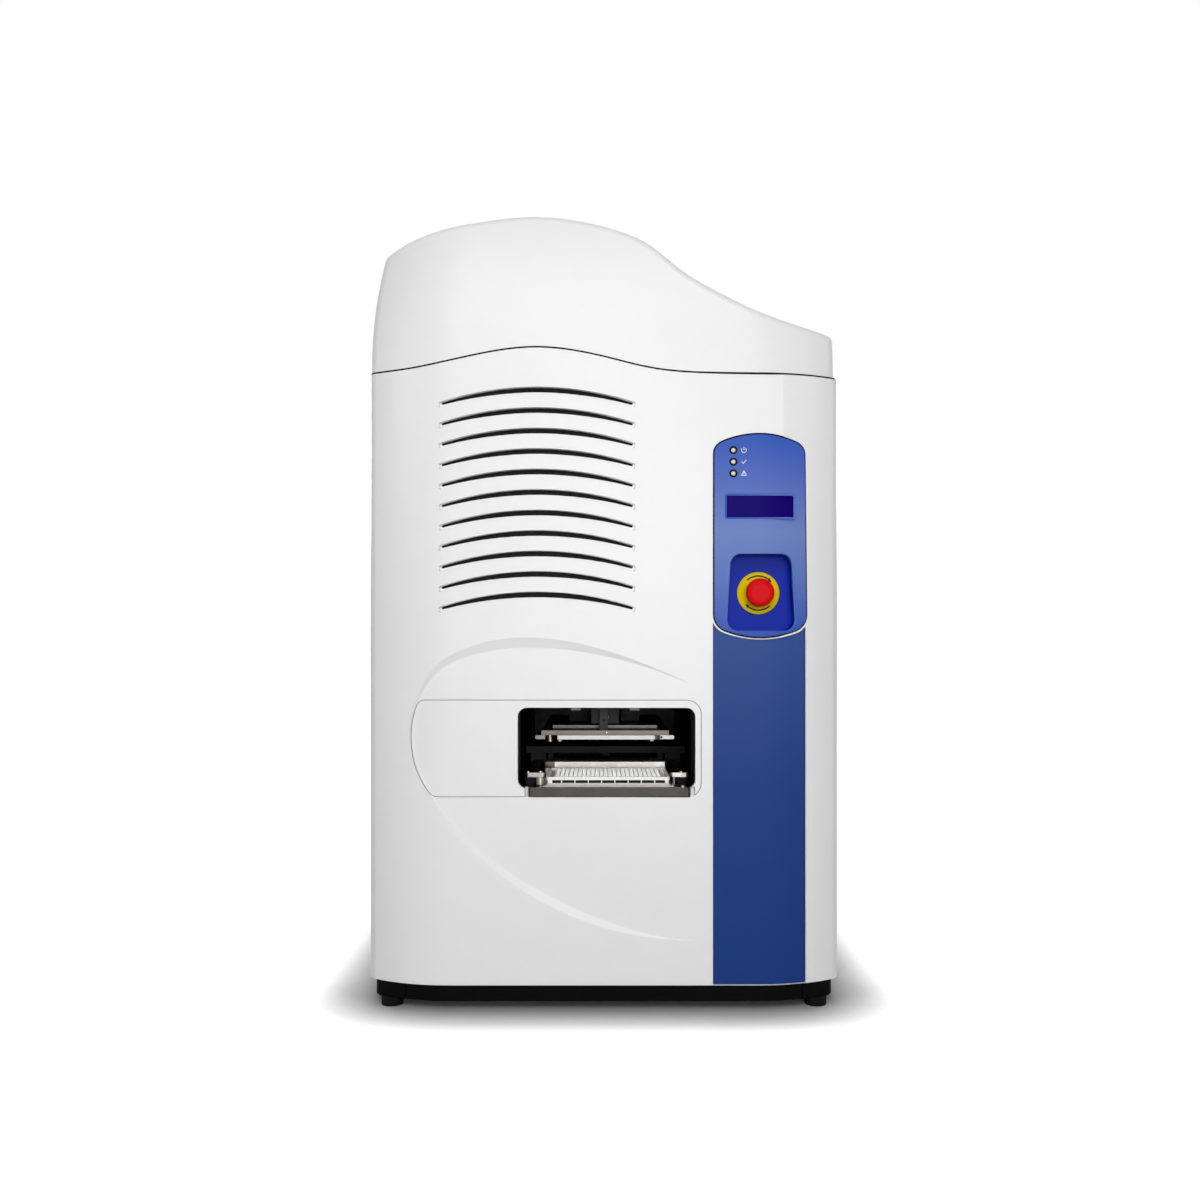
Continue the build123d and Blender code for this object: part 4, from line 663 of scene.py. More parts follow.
def gap_shade_depth(x):
    """How far back the top of the black gap piece lies at an x, just proud of both the panel and the shell
    round it.
    """
    panel = PANEL_FACE_Y - FRONT_Y + swept_back(x)
    shell = FACET_DROP * (x - FACET_FROM) / (FACET_TO - FACET_FROM) if x < FACET_TO else panel
    return min(panel, shell) - GAP_SHADE_PROUD


def arc(centre, radius, start, end, steps):
    """Points on an arc in front view, between two angles in degrees, anticlockwise from the right."""
    angles = [radians(start + (end - start) * n / steps) for n in range(steps + 1)]
    return [(centre[0] + radius * cos(a), centre[1] + radius * sin(a)) for a in angles]


def bowed_end(left, right, shoulder, tip, corner, side):
    """A bowed end with round corners, from left to right. Side is 1 at the top and -1 at the foot."""
    half, bow = (right - left) / 2, abs(tip - shoulder)
    radius = (half ** 2 + bow ** 2) / (2 * bow)
    middle_x, middle_z = (left + right) / 2, tip - side * radius
    across = half - corner
    rise = ((radius - corner) ** 2 - across ** 2) ** 0.5
    lean = degrees(atan2(rise, across))
    left_corner = arc((left + corner, middle_z + side * rise), corner, 180, 180 - side * lean, 6)
    bow_line = arc((middle_x, middle_z), radius, side * (180 - lean), side * lean, 20)
    right_corner = arc((right - corner, middle_z + side * rise), corner, side * lean, 0, 6)
    return left_corner + bow_line[1:-1] + right_corner


GAP_SHADE_MIDDLE = 0.45 * MM
PANEL_SIDES, PANEL_ENDS = (110 * MM, 202 * MM), (375 * MM, 578 * MM)
gap_shade_left, gap_shade_right = PANEL_SIDES[0] - GAP_SHADE_MIDDLE, PANEL_SIDES[1] + GAP_SHADE_MIDDLE
gap_shade_foot, gap_shade_top = PANEL_ENDS[0] - GAP_SHADE_MIDDLE, PANEL_ENDS[1] + GAP_SHADE_MIDDLE
TOP_CORNER, FOOT_CORNER = 13 * MM, 17 * MM
outline = bowed_end(gap_shade_left, gap_shade_right, gap_shade_top - SHOULDER, gap_shade_top, TOP_CORNER, 1)
foot_end = bowed_end(gap_shade_left, gap_shade_right + PANEL_FLARE, gap_shade_foot + SHOULDER, gap_shade_foot, FOOT_CORNER, -1)
outline += reversed(foot_end)
print("panel outline has", len(outline), "points")

# %% [markdown]
# ## Panel gap shade
# A black piece of painted shade fills the gap round the control panel, to make it dark as shade would. It
# is one section carried round the outline: a flat top between two small chamfers, and legs that reach down
# into the gap. It takes the black of the rubber parts.

# %% Panel gap shade
# Painted shade: a black cord stands for the shade in the gap round the panel.
gap_shade_section = mm((-0.9, -3), (-0.9, -0.2), (-0.5, 0), (0.5, 0), (0.9, -0.2), (0.9, -3))
gap_shade = bmesh.new()
gap_shade_path = [Vector((x, FRONT_Y + gap_shade_depth(x), z)) for x, z in outline]
sweep(gap_shade, gap_shade_path, gap_shade_section, closed=True)
finished("panel_gap_shade", gap_shade, rubber_black, "cabinet")

# %% [markdown]
# ## Pocket rim
# The edge of the stop button's pocket is rolled to a bright lip. The pocket is wider at its foot and has
# four round corners. A small rolled section is carried round it, a little proud of the panel's face.


# %% Pocket rim
def rounded_corners(points, radius, steps=6):
    """A polygon's outline with each corner rounded by an arc."""
    line = []
    for n, corner in enumerate(points):
        toward = (points[n - 1] - corner).normalized()
        away = (points[(n + 1) % len(points)] - corner).normalized()
        half_angle = toward.angle(away) / 2
        centre = corner + (toward + away).normalized() * radius / sin(half_angle)
        first = corner + toward * radius / tan(half_angle) - centre
        last = corner + away * radius / tan(half_angle) - centre
        turns = [first.normalized().slerp(last.normalized(), step / steps) for step in range(steps + 1)]
        line += [centre + turn * radius for turn in turns]
    return line


POCKET = mm((122.5, 381), (127, 458.5), (188, 458.5), (192.5, 381))
POCKET_CORNER = 11 * MM
LIP = mm((-0.9, -0.15), (-0.7, 0.08), (-0.1, 0.12), (0.3, -0.25), (0.35, -1.2), (-0.1, -1.2))
edge_blue = grained("edge_blue", (0.022, 0.105, 0.56), 0.26, 2500, 0.000004, tint=0.03, gloss=0.45)
pocket_outline = rounded_corners([Vector((x, 0, z)) for x, z in POCKET], POCKET_CORNER)
lip_path = [Vector((point.x, PANEL_FACE_Y + swept_back(point.x), point.z)) for point in pocket_outline]
lip = bmesh.new()
sweep(lip, lip_path, LIP, closed=True)
finished("pocket_rim", lip, edge_blue, "cabinet", 60)

# %% [markdown]
# ## Indicator lamps
# Each lamp on the real panel is a cream dome in a black snap-in bezel. The dome replaces the solid
# model's plain lens. Both are turned parts, so one profile each is enough.

# %% Indicator lamps
lamps_low, lamps_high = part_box("led_lenses")
LAMP_RADIUS = (lamps_high.x - lamps_low.x) / 2
LAMP_PITCH = (lamps_high.z - lamps_low.z - 2 * LAMP_RADIUS) / 2
lamp_x = (lamps_low.x + lamps_high.x) / 2
lamp_levels = [lamps_high.z - LAMP_RADIUS - n * LAMP_PITCH for n in range(3)]

BEZEL_PROFILE = mm((2.9, -6), (3.0, -0.1), (4.1, -0.1), (4.1, 0.16), (3.8, 0.4), (3.0, 0.42), (2.45, 0.1),
                   (2.4, -2.0), (0, -2.0))
DOME_PROFILE = mm((2.35, -2.2), (2.35, -0.9), (2.1, -0.35), (1.5, 0.05), (0.8, 0.25), (0, 0.3))
bezels, domes = bmesh.new(), bmesh.new()
for level in lamp_levels:
    lamp_place = Vector((lamp_x, PANEL_FACE_Y, level))
    spin(bezels, BEZEL_PROFILE, lamp_place, FRONT, 32)
    spin(domes, DOME_PROFILE, lamp_place, FRONT, 32)
ring_black = grained("ring_black", (0.004, 0.004, 0.004), 0.5, 2500, 0.000004, tint=0.15, gloss=0.08)
finished("lamp_bezels", bezels, ring_black, "cabinet")
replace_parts(finished("lamp_domes", domes, led_clear, "cabinet", 60), "led_lenses")

# %% [markdown]
# ## Signs beside the lamps
# The printed marks are plain signs: a ring with a stroke for power, a tick for ready and a triangle for a
# fault. A thin flat section carried along a few points draws each of them as a layer of ink.

# %% Signs beside the lamps
ink_white = grained("ink_white", (0.80, 0.82, 0.86), 0.5, 3000, 0.000002, tint=0.02)
INK = mm((-0.32, 0), (-0.32, 0.06), (0.32, 0.06), (0.32, 0))
SIGN_X = lamp_x + 10.5 * MM
SIGN_REACH = 2.4 * MM
ring_of_power = [(sin(radians(a)), cos(radians(a))) for a in range(35, 326, 15)]
tick = [(-0.95, 0.0), (-0.25, -0.75), (1.0, 0.8)]
triangle = [(-1.05, -0.8), (0, 1.0), (1.05, -0.8)]
signs = bmesh.new()
for level, line, closed in zip(lamp_levels, (ring_of_power, tick, triangle), (False, False, True)):
    sign = [Vector((SIGN_X + SIGN_REACH * u, PANEL_FACE_Y, level + SIGN_REACH * v)) for u, v in line]
    sweep(signs, sign, INK, closed=closed)
for level, low, high in ((lamp_levels[0], 0.1, 1.3), (lamp_levels[2], -0.35, 0.35)):
    stroke = [Vector((SIGN_X, PANEL_FACE_Y, level + SIGN_REACH * v)) for v in (low, high)]
    sweep(signs, stroke, INK)
finished("lamp_signs", signs, ink_white, "cabinet")

# %% [markdown]
# ## Display frame
# A bright chamfer runs round the display, from the panel's face down to the glass. A four-sided path with
# one sloping section makes it, mitred at its corners as a real frame is.

# %% Display frame
bevel_blue = grained("bevel_blue", (0.010, 0.075, 0.44), 0.3, 2500, 0.000004, tint=0.03, gloss=0.3)
DISPLAY_HALF_WIDTH = 33.75 * MM
DISPLAY_HALF_HEIGHT = 11.0 * MM
display_mid = middle("display_module")
display_corners = []
for sx, sz in ((-1, -1), (-1, 1), (1, 1), (1, -1)):
    x, z = display_mid.x + sx * DISPLAY_HALF_WIDTH, display_mid.z + sz * DISPLAY_HALF_HEIGHT
    display_corners.append(Vector((x, PANEL_FACE_Y, z)))
BEVEL = mm((0.2, -0.7), (0.2, -0.45), (-1.5, -0.02), (-1.5, -0.6))
bevel = bmesh.new()
sweep(bevel, display_corners, BEVEL, closed=True)
finished("display_bevel", bevel, bevel_blue, "cabinet", 20)

# %% [markdown]
# ## Stop button's ring
# The yellow ring is a moulded washer with a chamfered rim. Its section, from the bore outwards, is
# carried round a circle of 64 steps, which stays smooth at any distance.

# %% Stop button's ring
legend_low, legend_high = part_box("estop_legend")
ring_mid = Vector((middle("estop_legend").x, legend_low.y, middle("estop_legend").z))
RING_RADIUS = (legend_high.x - legend_low.x) / 2
BORE = 11.1 * MM
RING_STEPS = 64
rim = [(BORE, -1.9), (RING_RADIUS, -1.9), (RING_RADIUS, -1.1), (RING_RADIUS - 1.6 * MM, 0),
       (BORE + 2 * MM, 0), (BORE, -0.4)]
angles = [tau * n / RING_STEPS for n in range(RING_STEPS)]
bore_line = [ring_mid + Vector((BORE * sin(a), 0, BORE * cos(a))) for a in angles]
ring_mesh = bmesh.new()
sweep(ring_mesh, bore_line, [(BORE - radius, height * MM) for radius, height in rim], closed=True)
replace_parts(finished("stop_ring", ring_mesh, stop_yellow, "cabinet"), "estop_legend")

# %% [markdown]
# ## Twist arrows
# Two curved arrows on the ring show which way to twist the head to release it. They are laid on as ink: a
# flat section along an arc, with a triangle at its end.

# %% Twist arrows
ink_black = grained("ink_black", (0.006, 0.006, 0.006), 0.5, 3000, 0.000002, tint=0.1, gloss=0.2)
ARROW_RADIUS = 17.4 * MM
ARROW_FROM, ARROW_TO, ARROW_HEAD = -42, 36, 16
HEAD_HALF = 2.0 * MM
INK_HEIGHT = 0.06 * MM


def on_ring(radius, angle):
    """The point of the ring's face at a radius and at an angle in degrees, clockwise from its top."""
    return ring_mid + radius * Vector((sin(radians(angle)), 0, cos(radians(angle))))


arrows = bmesh.new()
for turned in (0, 180):
    shaft = [on_ring(ARROW_RADIUS, a + turned) for a in range(ARROW_FROM, ARROW_TO + 1, 6)]
    sweep(arrows, shaft, [(-0.8 * MM, 0), (-0.8 * MM, INK_HEIGHT), (0.8 * MM, INK_HEIGHT), (0.8 * MM, 0)])
    root = ARROW_TO + turned
    head = [on_ring(ARROW_RADIUS - HEAD_HALF, root), on_ring(ARROW_RADIUS, root + ARROW_HEAD),
            on_ring(ARROW_RADIUS + HEAD_HALF, root)]
    raised = [arrows.verts.new(point + FRONT * INK_HEIGHT) for point in head]
    sunk = [arrows.verts.new(point) for point in head]
    arrows.faces.new(raised)
    arrows.faces.new(sunk)
    for n in range(3):
        arrows.faces.new((raised[n], raised[(n + 1) % 3], sunk[(n + 1) % 3], sunk[n]))
finished("twist_arrows", arrows, ink_black, "cabinet")

# %% [markdown]
# ## Microplate
# The plate in the slot has 384 wells, 24 by 16 at 4.5 mm. Seen from the front it is a white field of
# wells, a frosted rim, and a row of pockets between ribs along its skirt, black with painted shade. Two
# meshes, the body and the field of wells, together replace the plain solid plate, and both ride on the
# plate.

# %% Plate finishes
plate_white = grained("plate_white", (0.95, 0.95, 0.94), 0.32, 2500, 0.000004, tint=0.02, rounded=0.0002)
plate_frosted = grained("plate_frosted", (0.55, 0.54, 0.52), 0.3, 1500, 0.000006, tint=0.08, rounded=0.0003)
# Painted shade: black that stands for shade in the plate's groove, in blind holes and in louvre openings.
plate_shadow = grained("plate_shadow", (0.008, 0.008, 0.008), 0.6, 2500, 0.000004, tint=0.1, gloss=0.1)

print("plate finishes ready")

# %% [markdown]
# ## Plate body
# The body is one rounded outline raised through a stack of insets: out over the skirt, in at the groove,
# over the rim and down to the floor. Small ribs then cross the groove at the front and the back.

# %% Plate body
plate_low, plate_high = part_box("microplate")
plate_mid = (plate_low + plate_high) / 2
PLATE_LENGTH = plate_high.x - plate_low.x
PLATE_WIDTH = plate_high.y - plate_low.y
PLATE_TOP = plate_high.z - plate_low.z
GROOVE = (4.4 * MM, 7.2 * MM)
RIM_WALL = 1.5 * MM
FLOOR_DROP = 1.5 * MM
body_levels = [
    (0, 0), (0, 2.0 * MM), (0.5 * MM, 2.4 * MM), (1.2 * MM, 2.6 * MM), (1.2 * MM, GROOVE[0]),
    (3.4 * MM, GROOVE[0] + 0.1 * MM), (3.4 * MM, GROOVE[1] - 0.1 * MM), (1.2 * MM, GROOVE[1]),
    (1.2 * MM, PLATE_TOP - 0.5 * MM), (1.6 * MM, PLATE_TOP), (1.6 * MM + RIM_WALL, PLATE_TOP),
    (1.9 * MM + RIM_WALL, PLATE_TOP - 0.4 * MM), (2.0 * MM + RIM_WALL, PLATE_TOP - FLOOR_DROP),
]
plate_foot = Vector((plate_mid.x, plate_mid.y, plate_low.z))
plate_mesh = bmesh.new()
walls, caps = stack(plate_mesh, plate_foot, PLATE_LENGTH, PLATE_WIDTH, 4.0 * MM, body_levels)
for face in walls + caps:
    height = face.calc_center_median().z - plate_low.z
    on_floor = height > PLATE_TOP - FLOOR_DROP - 0.1 * MM and face in caps
    on_skirt = 0.1 * MM < height < GROOVE[0] - 0.3 * MM
    # Painted shade: the groove's faces take the black of plate_shadow.
    face.material_index = 2 if GROOVE[0] < height < GROOVE[1] else int(on_skirt or on_floor)
RIB_PITCH = 13.5 * MM
RIB_COUNT = 8
RIB_WIDTH, RIB_REACH = 1.1 * MM, 2.2 * MM
POCKET_ENDS = (-52.5 * MM, 62.0 * MM)
spans = [(plate_mid.x + (n - (RIB_COUNT - 1) / 2) * RIB_PITCH, RIB_WIDTH) for n in range(RIB_COUNT)]
left_end = (plate_low.x + 2.5 * MM + POCKET_ENDS[0]) / 2
right_end = (plate_high.x - 2.5 * MM + POCKET_ENDS[1]) / 2
spans += [(left_end, 2 * (POCKET_ENDS[0] - left_end)), (right_end, 2 * (right_end - POCKET_ENDS[1]))]
rib_levels = [(0, 0), (0, GROOVE[1] - GROOVE[0] + 0.4 * MM)]
for y in (plate_low.y + 2.4 * MM, plate_high.y - 2.4 * MM):
    for x, wide in spans:
        rib_foot = Vector((x, y, plate_low.z + GROOVE[0] - 0.2 * MM))
        stack(plate_mesh, rib_foot, wide, RIB_REACH, 0.3 * MM, rib_levels)
plate_finishes = (plate_white, plate_frosted, plate_shadow)
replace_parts(finished("plate_body", plate_mesh, plate_finishes, "plate"), "microplate")

# %% [markdown]
# ## Plate wells
# The field is made cell by cell: a square of deck with four walls and a floor in it. Its border is then
# drawn down and closed below, so that the mesh is a solid body like any other.

# %% Plate wells
PITCH = 4.5 * MM
WELL = 3.7 * MM
WELL_DEPTH = 0.5 * MM
COLUMNS, ROWS = 24, 16
MARGIN = 1.2 * MM
well_mesh = bmesh.new()


def grid_lines(count, centre):
    """The cell borders along one side of the field, with its outer margin added at both ends."""
    lines = [centre + (n - count / 2) * PITCH for n in range(count + 1)]
    lines[0] -= MARGIN
    lines[-1] += MARGIN
    return lines


x_lines, y_lines = grid_lines(COLUMNS, plate_mid.x), grid_lines(ROWS, plate_mid.y)
deck = [[well_mesh.verts.new((x, y, plate_high.z - 0.05 * MM)) for y in y_lines] for x in x_lines]
for i in range(COLUMNS):
    for j in range(ROWS):
        well_x = plate_mid.x + (i - (COLUMNS - 1) / 2) * PITCH
        well_y = plate_mid.y + (j - (ROWS - 1) / 2) * PITCH
        outer = [deck[i][j], deck[i + 1][j], deck[i + 1][j + 1], deck[i][j + 1]]
        rings = [outer]
        for half, drop in ((WELL / 2, 0.05 * MM), (WELL / 2 - 0.15 * MM, WELL_DEPTH)):
            square = [(well_x + sx * half, well_y + sy * half)
                      for sx, sy in ((-1, -1), (1, -1), (1, 1), (-1, 1))]
            rings.append([well_mesh.verts.new((x, y, plate_high.z - drop)) for x, y in square])
        for upper, lower in zip(rings, rings[1:]):
            for n in range(4):
                well_mesh.faces.new((upper[n], upper[(n + 1) % 4], lower[(n + 1) % 4], lower[n]))
        well_mesh.faces.new(rings[-1])
border = [edge for edge in well_mesh.edges if edge.is_boundary]
drawn = bmesh.ops.extrude_edge_only(well_mesh, edges=border)["geom"]
for part in drawn:
    if isinstance(part, bmesh.types.BMVert):
        part.co.z = plate_high.z - FLOOR_DROP - 0.2 * MM
bmesh.ops.contextual_create(well_mesh, geom=[edge for edge in well_mesh.edges if edge.is_boundary])
finished("plate_wells", well_mesh, plate_white, "plate")

# %% [markdown]
# ## Rail screws
# Flush socket screws hold both rails of the source stage down. A screw is a turned part whose recess is a
# hexagon, so one helper makes all of them here and on the back. On the rails they stay level with the
# top, because the carriage's blocks run over them.


# %% Rail screws
def screw(mesh, place, axis, radius, height):
    """A socket-head screw whose underside is at a place and whose head points along an axis."""
    recess = height - 0.9 * MM
    spin(mesh, [(radius, -0.2 * MM), (radius, height * 0.75), (radius * 0.88, height),
                (radius * 0.56, height, 6), (radius * 0.52, recess, 6), (0, recess)], place, axis, 24)


RAIL_SCREW_PITCH = 38 * MM
FIRST_RAIL_SCREW = 0.65     # in pitches from the rail's front end
rails_low, rails_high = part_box("source_rails")
RAIL_HALF_WIDTH = 6 * MM
rail_screws = bmesh.new()
screws_to_a_rail = int((rails_high.y - rails_low.y) / RAIL_SCREW_PITCH)
for x in (rails_low.x + RAIL_HALF_WIDTH, rails_high.x - RAIL_HALF_WIDTH):
    for n in range(screws_to_a_rail):
        spot = Vector((x, rails_low.y + (n + FIRST_RAIL_SCREW) * RAIL_SCREW_PITCH, rails_high.z))
        screw(rail_screws, spot, UP, 2.6 * MM, 0.12 * MM)
finished("rail_screws", rail_screws, polished_steel, "cabinet")

# %% [markdown]
# ## Clamp collar
# The tray's clamp turns on a bright collar round its post. It is a plain turned bush with a chamfer at
# its top, and reaches from the tray up to the lever.

# %% Clamp collar
post_mid = middle("clamp_post")
lever_low, lever_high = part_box("clamp_lever")
tray_low, tray_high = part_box("source_tray")
nest_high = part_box("plate_nest")[1]
TRAY_FACE = plate_low.z - 1.0 * MM
collar = bmesh.new()
collar_height = lever_low.z - TRAY_FACE - 0.3 * MM
COLLAR_RADIUS = 4.4 * MM
collar_profile = [(COLLAR_RADIUS, 0), (COLLAR_RADIUS, collar_height - 0.9 * MM),
                  (COLLAR_RADIUS - 0.7 * MM, collar_height), (0, collar_height)]
spin(collar, collar_profile, Vector((post_mid.x, post_mid.y, TRAY_FACE)), UP, 32)
satin_nickel = grained("satin_nickel", (0.72, 0.67, 0.58), 0.42, 2600, 0.00001, metallic=0.55, tint=0.08,
                       rounded=0.0004)
finished("clamp_collar", collar, satin_nickel, "source_stage")

# %% [markdown]
# ## Lever screw and locator nut
# A small screw sits at the free end of the clamp's lever and moves with it. The nut holds the right
# locator on the nest, opposite the clamp. It is turned with a hexagonal collar.

# %% Lever screw and locator nut
lever_screw = bmesh.new()
lever_top = Vector((lever_low.x + 3.0 * MM, (lever_low.y + lever_high.y) / 2, lever_high.z))
screw(lever_screw, lever_top, UP, 1.7 * MM, 1.3 * MM)
finished("lever_screw", lever_screw, zinc_steel, "plate_clamp")

LOCATOR_NUT_X = nest_high.x - 5.4 * MM
nut = bmesh.new()
nut_place = Vector((LOCATOR_NUT_X, post_mid.y - 3.2 * MM, (lever_low.z + lever_high.z) / 2))
nut_profile = [(2.3 * MM, -0.2 * MM), (2.3 * MM, 0.8 * MM, 6)]
nut_profile += mm((2.0, 1.3), (1.1, 1.3), (1.0, 0.5), (0, 0.5))
spin(nut, nut_profile, nut_place, FRONT, 24)
finished("locator_nut", nut, satin_nickel, "source_stage")

# %% [markdown]
# ## Stop bar's pad
# A brown pad ends the bright bar that stops the plate. It is a thin block with a chamfered front, glued
# on.

# %% Stop bar's pad
pad_brown = grained("pad_brown", (0.085, 0.062, 0.050), 0.42, 2600, 0.00001, metallic=0.5, tint=0.15,
                    rounded=0.0002)
PAD_WIDTH, PAD_HEIGHT = 10.5 * MM, 7.0 * MM
pad = bmesh.new()
stop_front_y = FRONT_Y + 108 * MM
stop_bar_left = -64.0 * MM
pad_mid = Vector((stop_bar_left + PAD_WIDTH / 2, stop_front_y, nest_high.z - 5.2 * MM))
stack(pad, pad_mid, PAD_WIDTH, PAD_HEIGHT, 0.6 * MM, mm((0, -0.1), (0, 0.35), (0.3, 0.5)), FRONT)
finished("stop_bar_pad", pad, pad_brown, "source_stage")

# %% [markdown]
# ## Notch cheeks
# The slot's lower edge has a notch that lets the tray's bar through. A cheek closes the gap at each end of
# the bar, in a grey darker than the bezel's white: painted shade in the notch. Such cheeks are moulded with
# the bezel, so they stay with the cabinet when the tray moves.

# %% Notch cheeks
# Painted shade: the cheeks' white is darkened to a grey.
cheek_painted_shade = grained("cheek_painted_shade", (0.60, 0.60, 0.60), 0.4, 1800, 0.00001, tint=0.01, rounded=0.0006)
bezel_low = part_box("access_bezel")[0]
NOTCH_LEFT, NOTCH_RIGHT, NOTCH_TOP = -79.4 * MM, 90.9 * MM, 224.4 * MM
notch_foot = bezel_low.z + 2.2 * MM
CHEEK_GAP = 0.55 * MM
CHEEK_BACK = 6.8 * MM
cheeks = bmesh.new()
for inner, outer, face_depth in ((tray_low.x - CHEEK_GAP, NOTCH_LEFT, 4.2 * MM),
                                 (tray_high.x + CHEEK_GAP, NOTCH_RIGHT, 1.4 * MM)):
    cheek_mid = Vector(((inner + outer) / 2, FRONT_Y + CHEEK_BACK, (notch_foot + NOTCH_TOP) / 2))
    rise = CHEEK_BACK - face_depth
    stack(cheeks, cheek_mid, abs(outer - inner), NOTCH_TOP - notch_foot, 0.5 * MM,
          [(0, 0), (0, rise - 0.8 * MM), (0.7 * MM, rise)], FRONT)
finished("notch_cheeks", cheeks, cheek_painted_shade, "cabinet")

# %% [markdown]
# ## Guide pins
# The gripper's frame of the destination stage carries two cream guide pins that point down at the plate.
# They are turned plastic with a cone at the tip.

# %% Guide pins
frame_low, frame_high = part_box("gripper_frame")
GUIDE_PINS_X = (frame_low.x + 2.4 * MM, frame_high.x - 7.3 * MM)
PIN_PROFILE = mm((2.25, 0), (2.25, 1.6), (1.5, 2.4), (0, 2.6))
pins = bmesh.new()
for x in GUIDE_PINS_X:
    spin(pins, PIN_PROFILE, Vector((x, frame_low.y + 6 * MM, frame_low.z + 2.05 * MM)), -UP, 24)
finished("guide_pins", pins, plate_white, "upper_stage", 50)

# %% [markdown]
# ## Gripper's end block
# A small grey block ends the gripper's frame on the right. It is milled, with a chamfer round its front.

# %% Gripper's end block
block_grey = grained("block_grey", (0.11, 0.105, 0.10), 0.42, 2600, 0.00001, metallic=0.6, tint=0.1,
                     rounded=0.0002)
BLOCK_WIDTH = 4.6 * MM
FRAME_HEIGHT = 4.5 * MM
end_block = bmesh.new()
block_mid = Vector((frame_high.x - BLOCK_WIDTH / 2, frame_low.y, frame_high.z - FRAME_HEIGHT / 2))
stack(end_block, block_mid, BLOCK_WIDTH, FRAME_HEIGHT - 0.1 * MM, 0.5 * MM,
      mm((0, -0.2), (0, 0.4), (0.3, 0.6)), FRONT)
finished("gripper_end_block", end_block, block_grey, "upper_stage")

# %% [markdown]
# ## Blind holes
# The end block, the right jaw and the bearing blocks behind them show blind holes. Each is a black disc of
# painted shade that stands off the face by a few hundredths of a millimetre, which reads as a hole from any
# side.


# %% Blind holes
HOLE_PROUD = 0.04 * MM


def hole_shade_discs(name, places, radius, body):
    """Black discs of painted shade that read as blind holes in faces that look to the front."""
    mesh = bmesh.new()
    for place in places:
        spin(mesh, [(radius, -0.3 * MM), (radius, HOLE_PROUD), (0, HOLE_PROUD)], place, FRONT, 20)
    return finished(name, mesh, plate_shadow, body)


jaw_low, jaw_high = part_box("gripper_jaw_right")
blocks_low, blocks_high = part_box("upper_bearing_blocks")
block_spot = block_mid + FRONT * 0.6 * MM + Vector((0.4 * MM, 0, 0))
hole_shade_discs("end_block_hole_shade", [block_spot], 1.0 * MM, "upper_stage")
jaw_spot = Vector((jaw_low.x + 1.7 * MM, jaw_low.y, (jaw_low.z + jaw_high.z) / 2))
hole_shade_discs("jaw_hole_shade", [jaw_spot], 1.25 * MM, "right_jaw")
hole_level = blocks_low.z + 7 * MM
block_spots = [Vector((x + dx * MM, blocks_low.y, hole_level + dz * MM))
               for x in (blocks_low.x + 11 * MM, blocks_high.x - 11 * MM)
               for dx, dz in ((-7.5, 0), (7.5, 0), (-2.2, 8), (2.6, 8))]
hole_shade_discs("bearing_block_hole_shades", block_spots, 1.5 * MM, "upper_stage")

# %% [markdown]
# ## Plunger sleeve
# The spring plunger runs in a brass sleeve with a groove. One turned profile, closed at both ends, makes
# it.

# %% Plunger sleeve
plunger_mid = middle("locating_plunger")
SLEEVE_RADIUS = 3.1 * MM
sleeve = bmesh.new()
sleeve_foot = Vector((plunger_mid.x, plunger_mid.y, frame_low.z - 1.6 * MM))
sleeve_profile = [(SLEEVE_RADIUS - inset * MM, height * MM) for inset, height in
                  ((0.8, 0), (0, 0.8), (0, 3.2), (0.5, 3.4), (0.5, 4.0), (0, 4.2), (0, 6.0))]
spin(sleeve, sleeve_profile, sleeve_foot, UP, 28)
finished("plunger_sleeve", sleeve, brass, "upper_stage")

# %% [markdown]
# ## Strap
# A dark strap hangs down the front of the destination stage's carriage and ends above the plate, with one
# hole near its foot. It moves with the stage. A steel dowel shows beside that foot, in the carriage's own
# front.

# %% Strap
STRAP_WIDTH, STRAP_FOOT = 9.2 * MM, 275.2 * MM
STRAP_FACE_Y = FRONT_Y + 95 * MM
carriage_low, carriage_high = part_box("upper_carriage")
strap_dark = grained("strap_dark", (0.040, 0.038, 0.036), 0.5, 2600, 0.00001, metallic=0.3, tint=0.15,
                     rounded=0.0003, gloss=0.2)
strap = bmesh.new()
strap_mid = Vector((0, STRAP_FACE_Y, (STRAP_FOOT + carriage_high.z) / 2))
stack(strap, strap_mid, STRAP_WIDTH, carriage_high.z - STRAP_FOOT, 0.8 * MM,
      mm((0, -0.2), (0, 0.5), (0.3, 0.8)), FRONT)
finished("strap", strap, strap_dark, "upper_stage")
strap_spot = Vector((strap_mid.x, STRAP_FACE_Y - 0.8 * MM, 285 * MM))
# Painted shade: a black disc stands for the strap's hole.
hole_shade_discs("strap_hole_shade", [strap_spot], 1.4 * MM, "upper_stage")
dowel = bmesh.new()
dowel_place = Vector((3.2 * MM, carriage_low.y, 272.5 * MM))
spin(dowel, mm((0.9, -0.2), (0.9, 0.15), (0.5, 0.3), (0, 0.3)), dowel_place, FRONT, 16)
finished("plate_dowel", dowel, polished_steel, "upper_stage")

# %% [markdown]
# ## Rear screws
# The back can't be seen from the front, but the machine is looked at from all sides. Its sheet is screwed
# on down both sides, and each fan's guard has a screw at every corner. They are one piece, because they
# stay together.

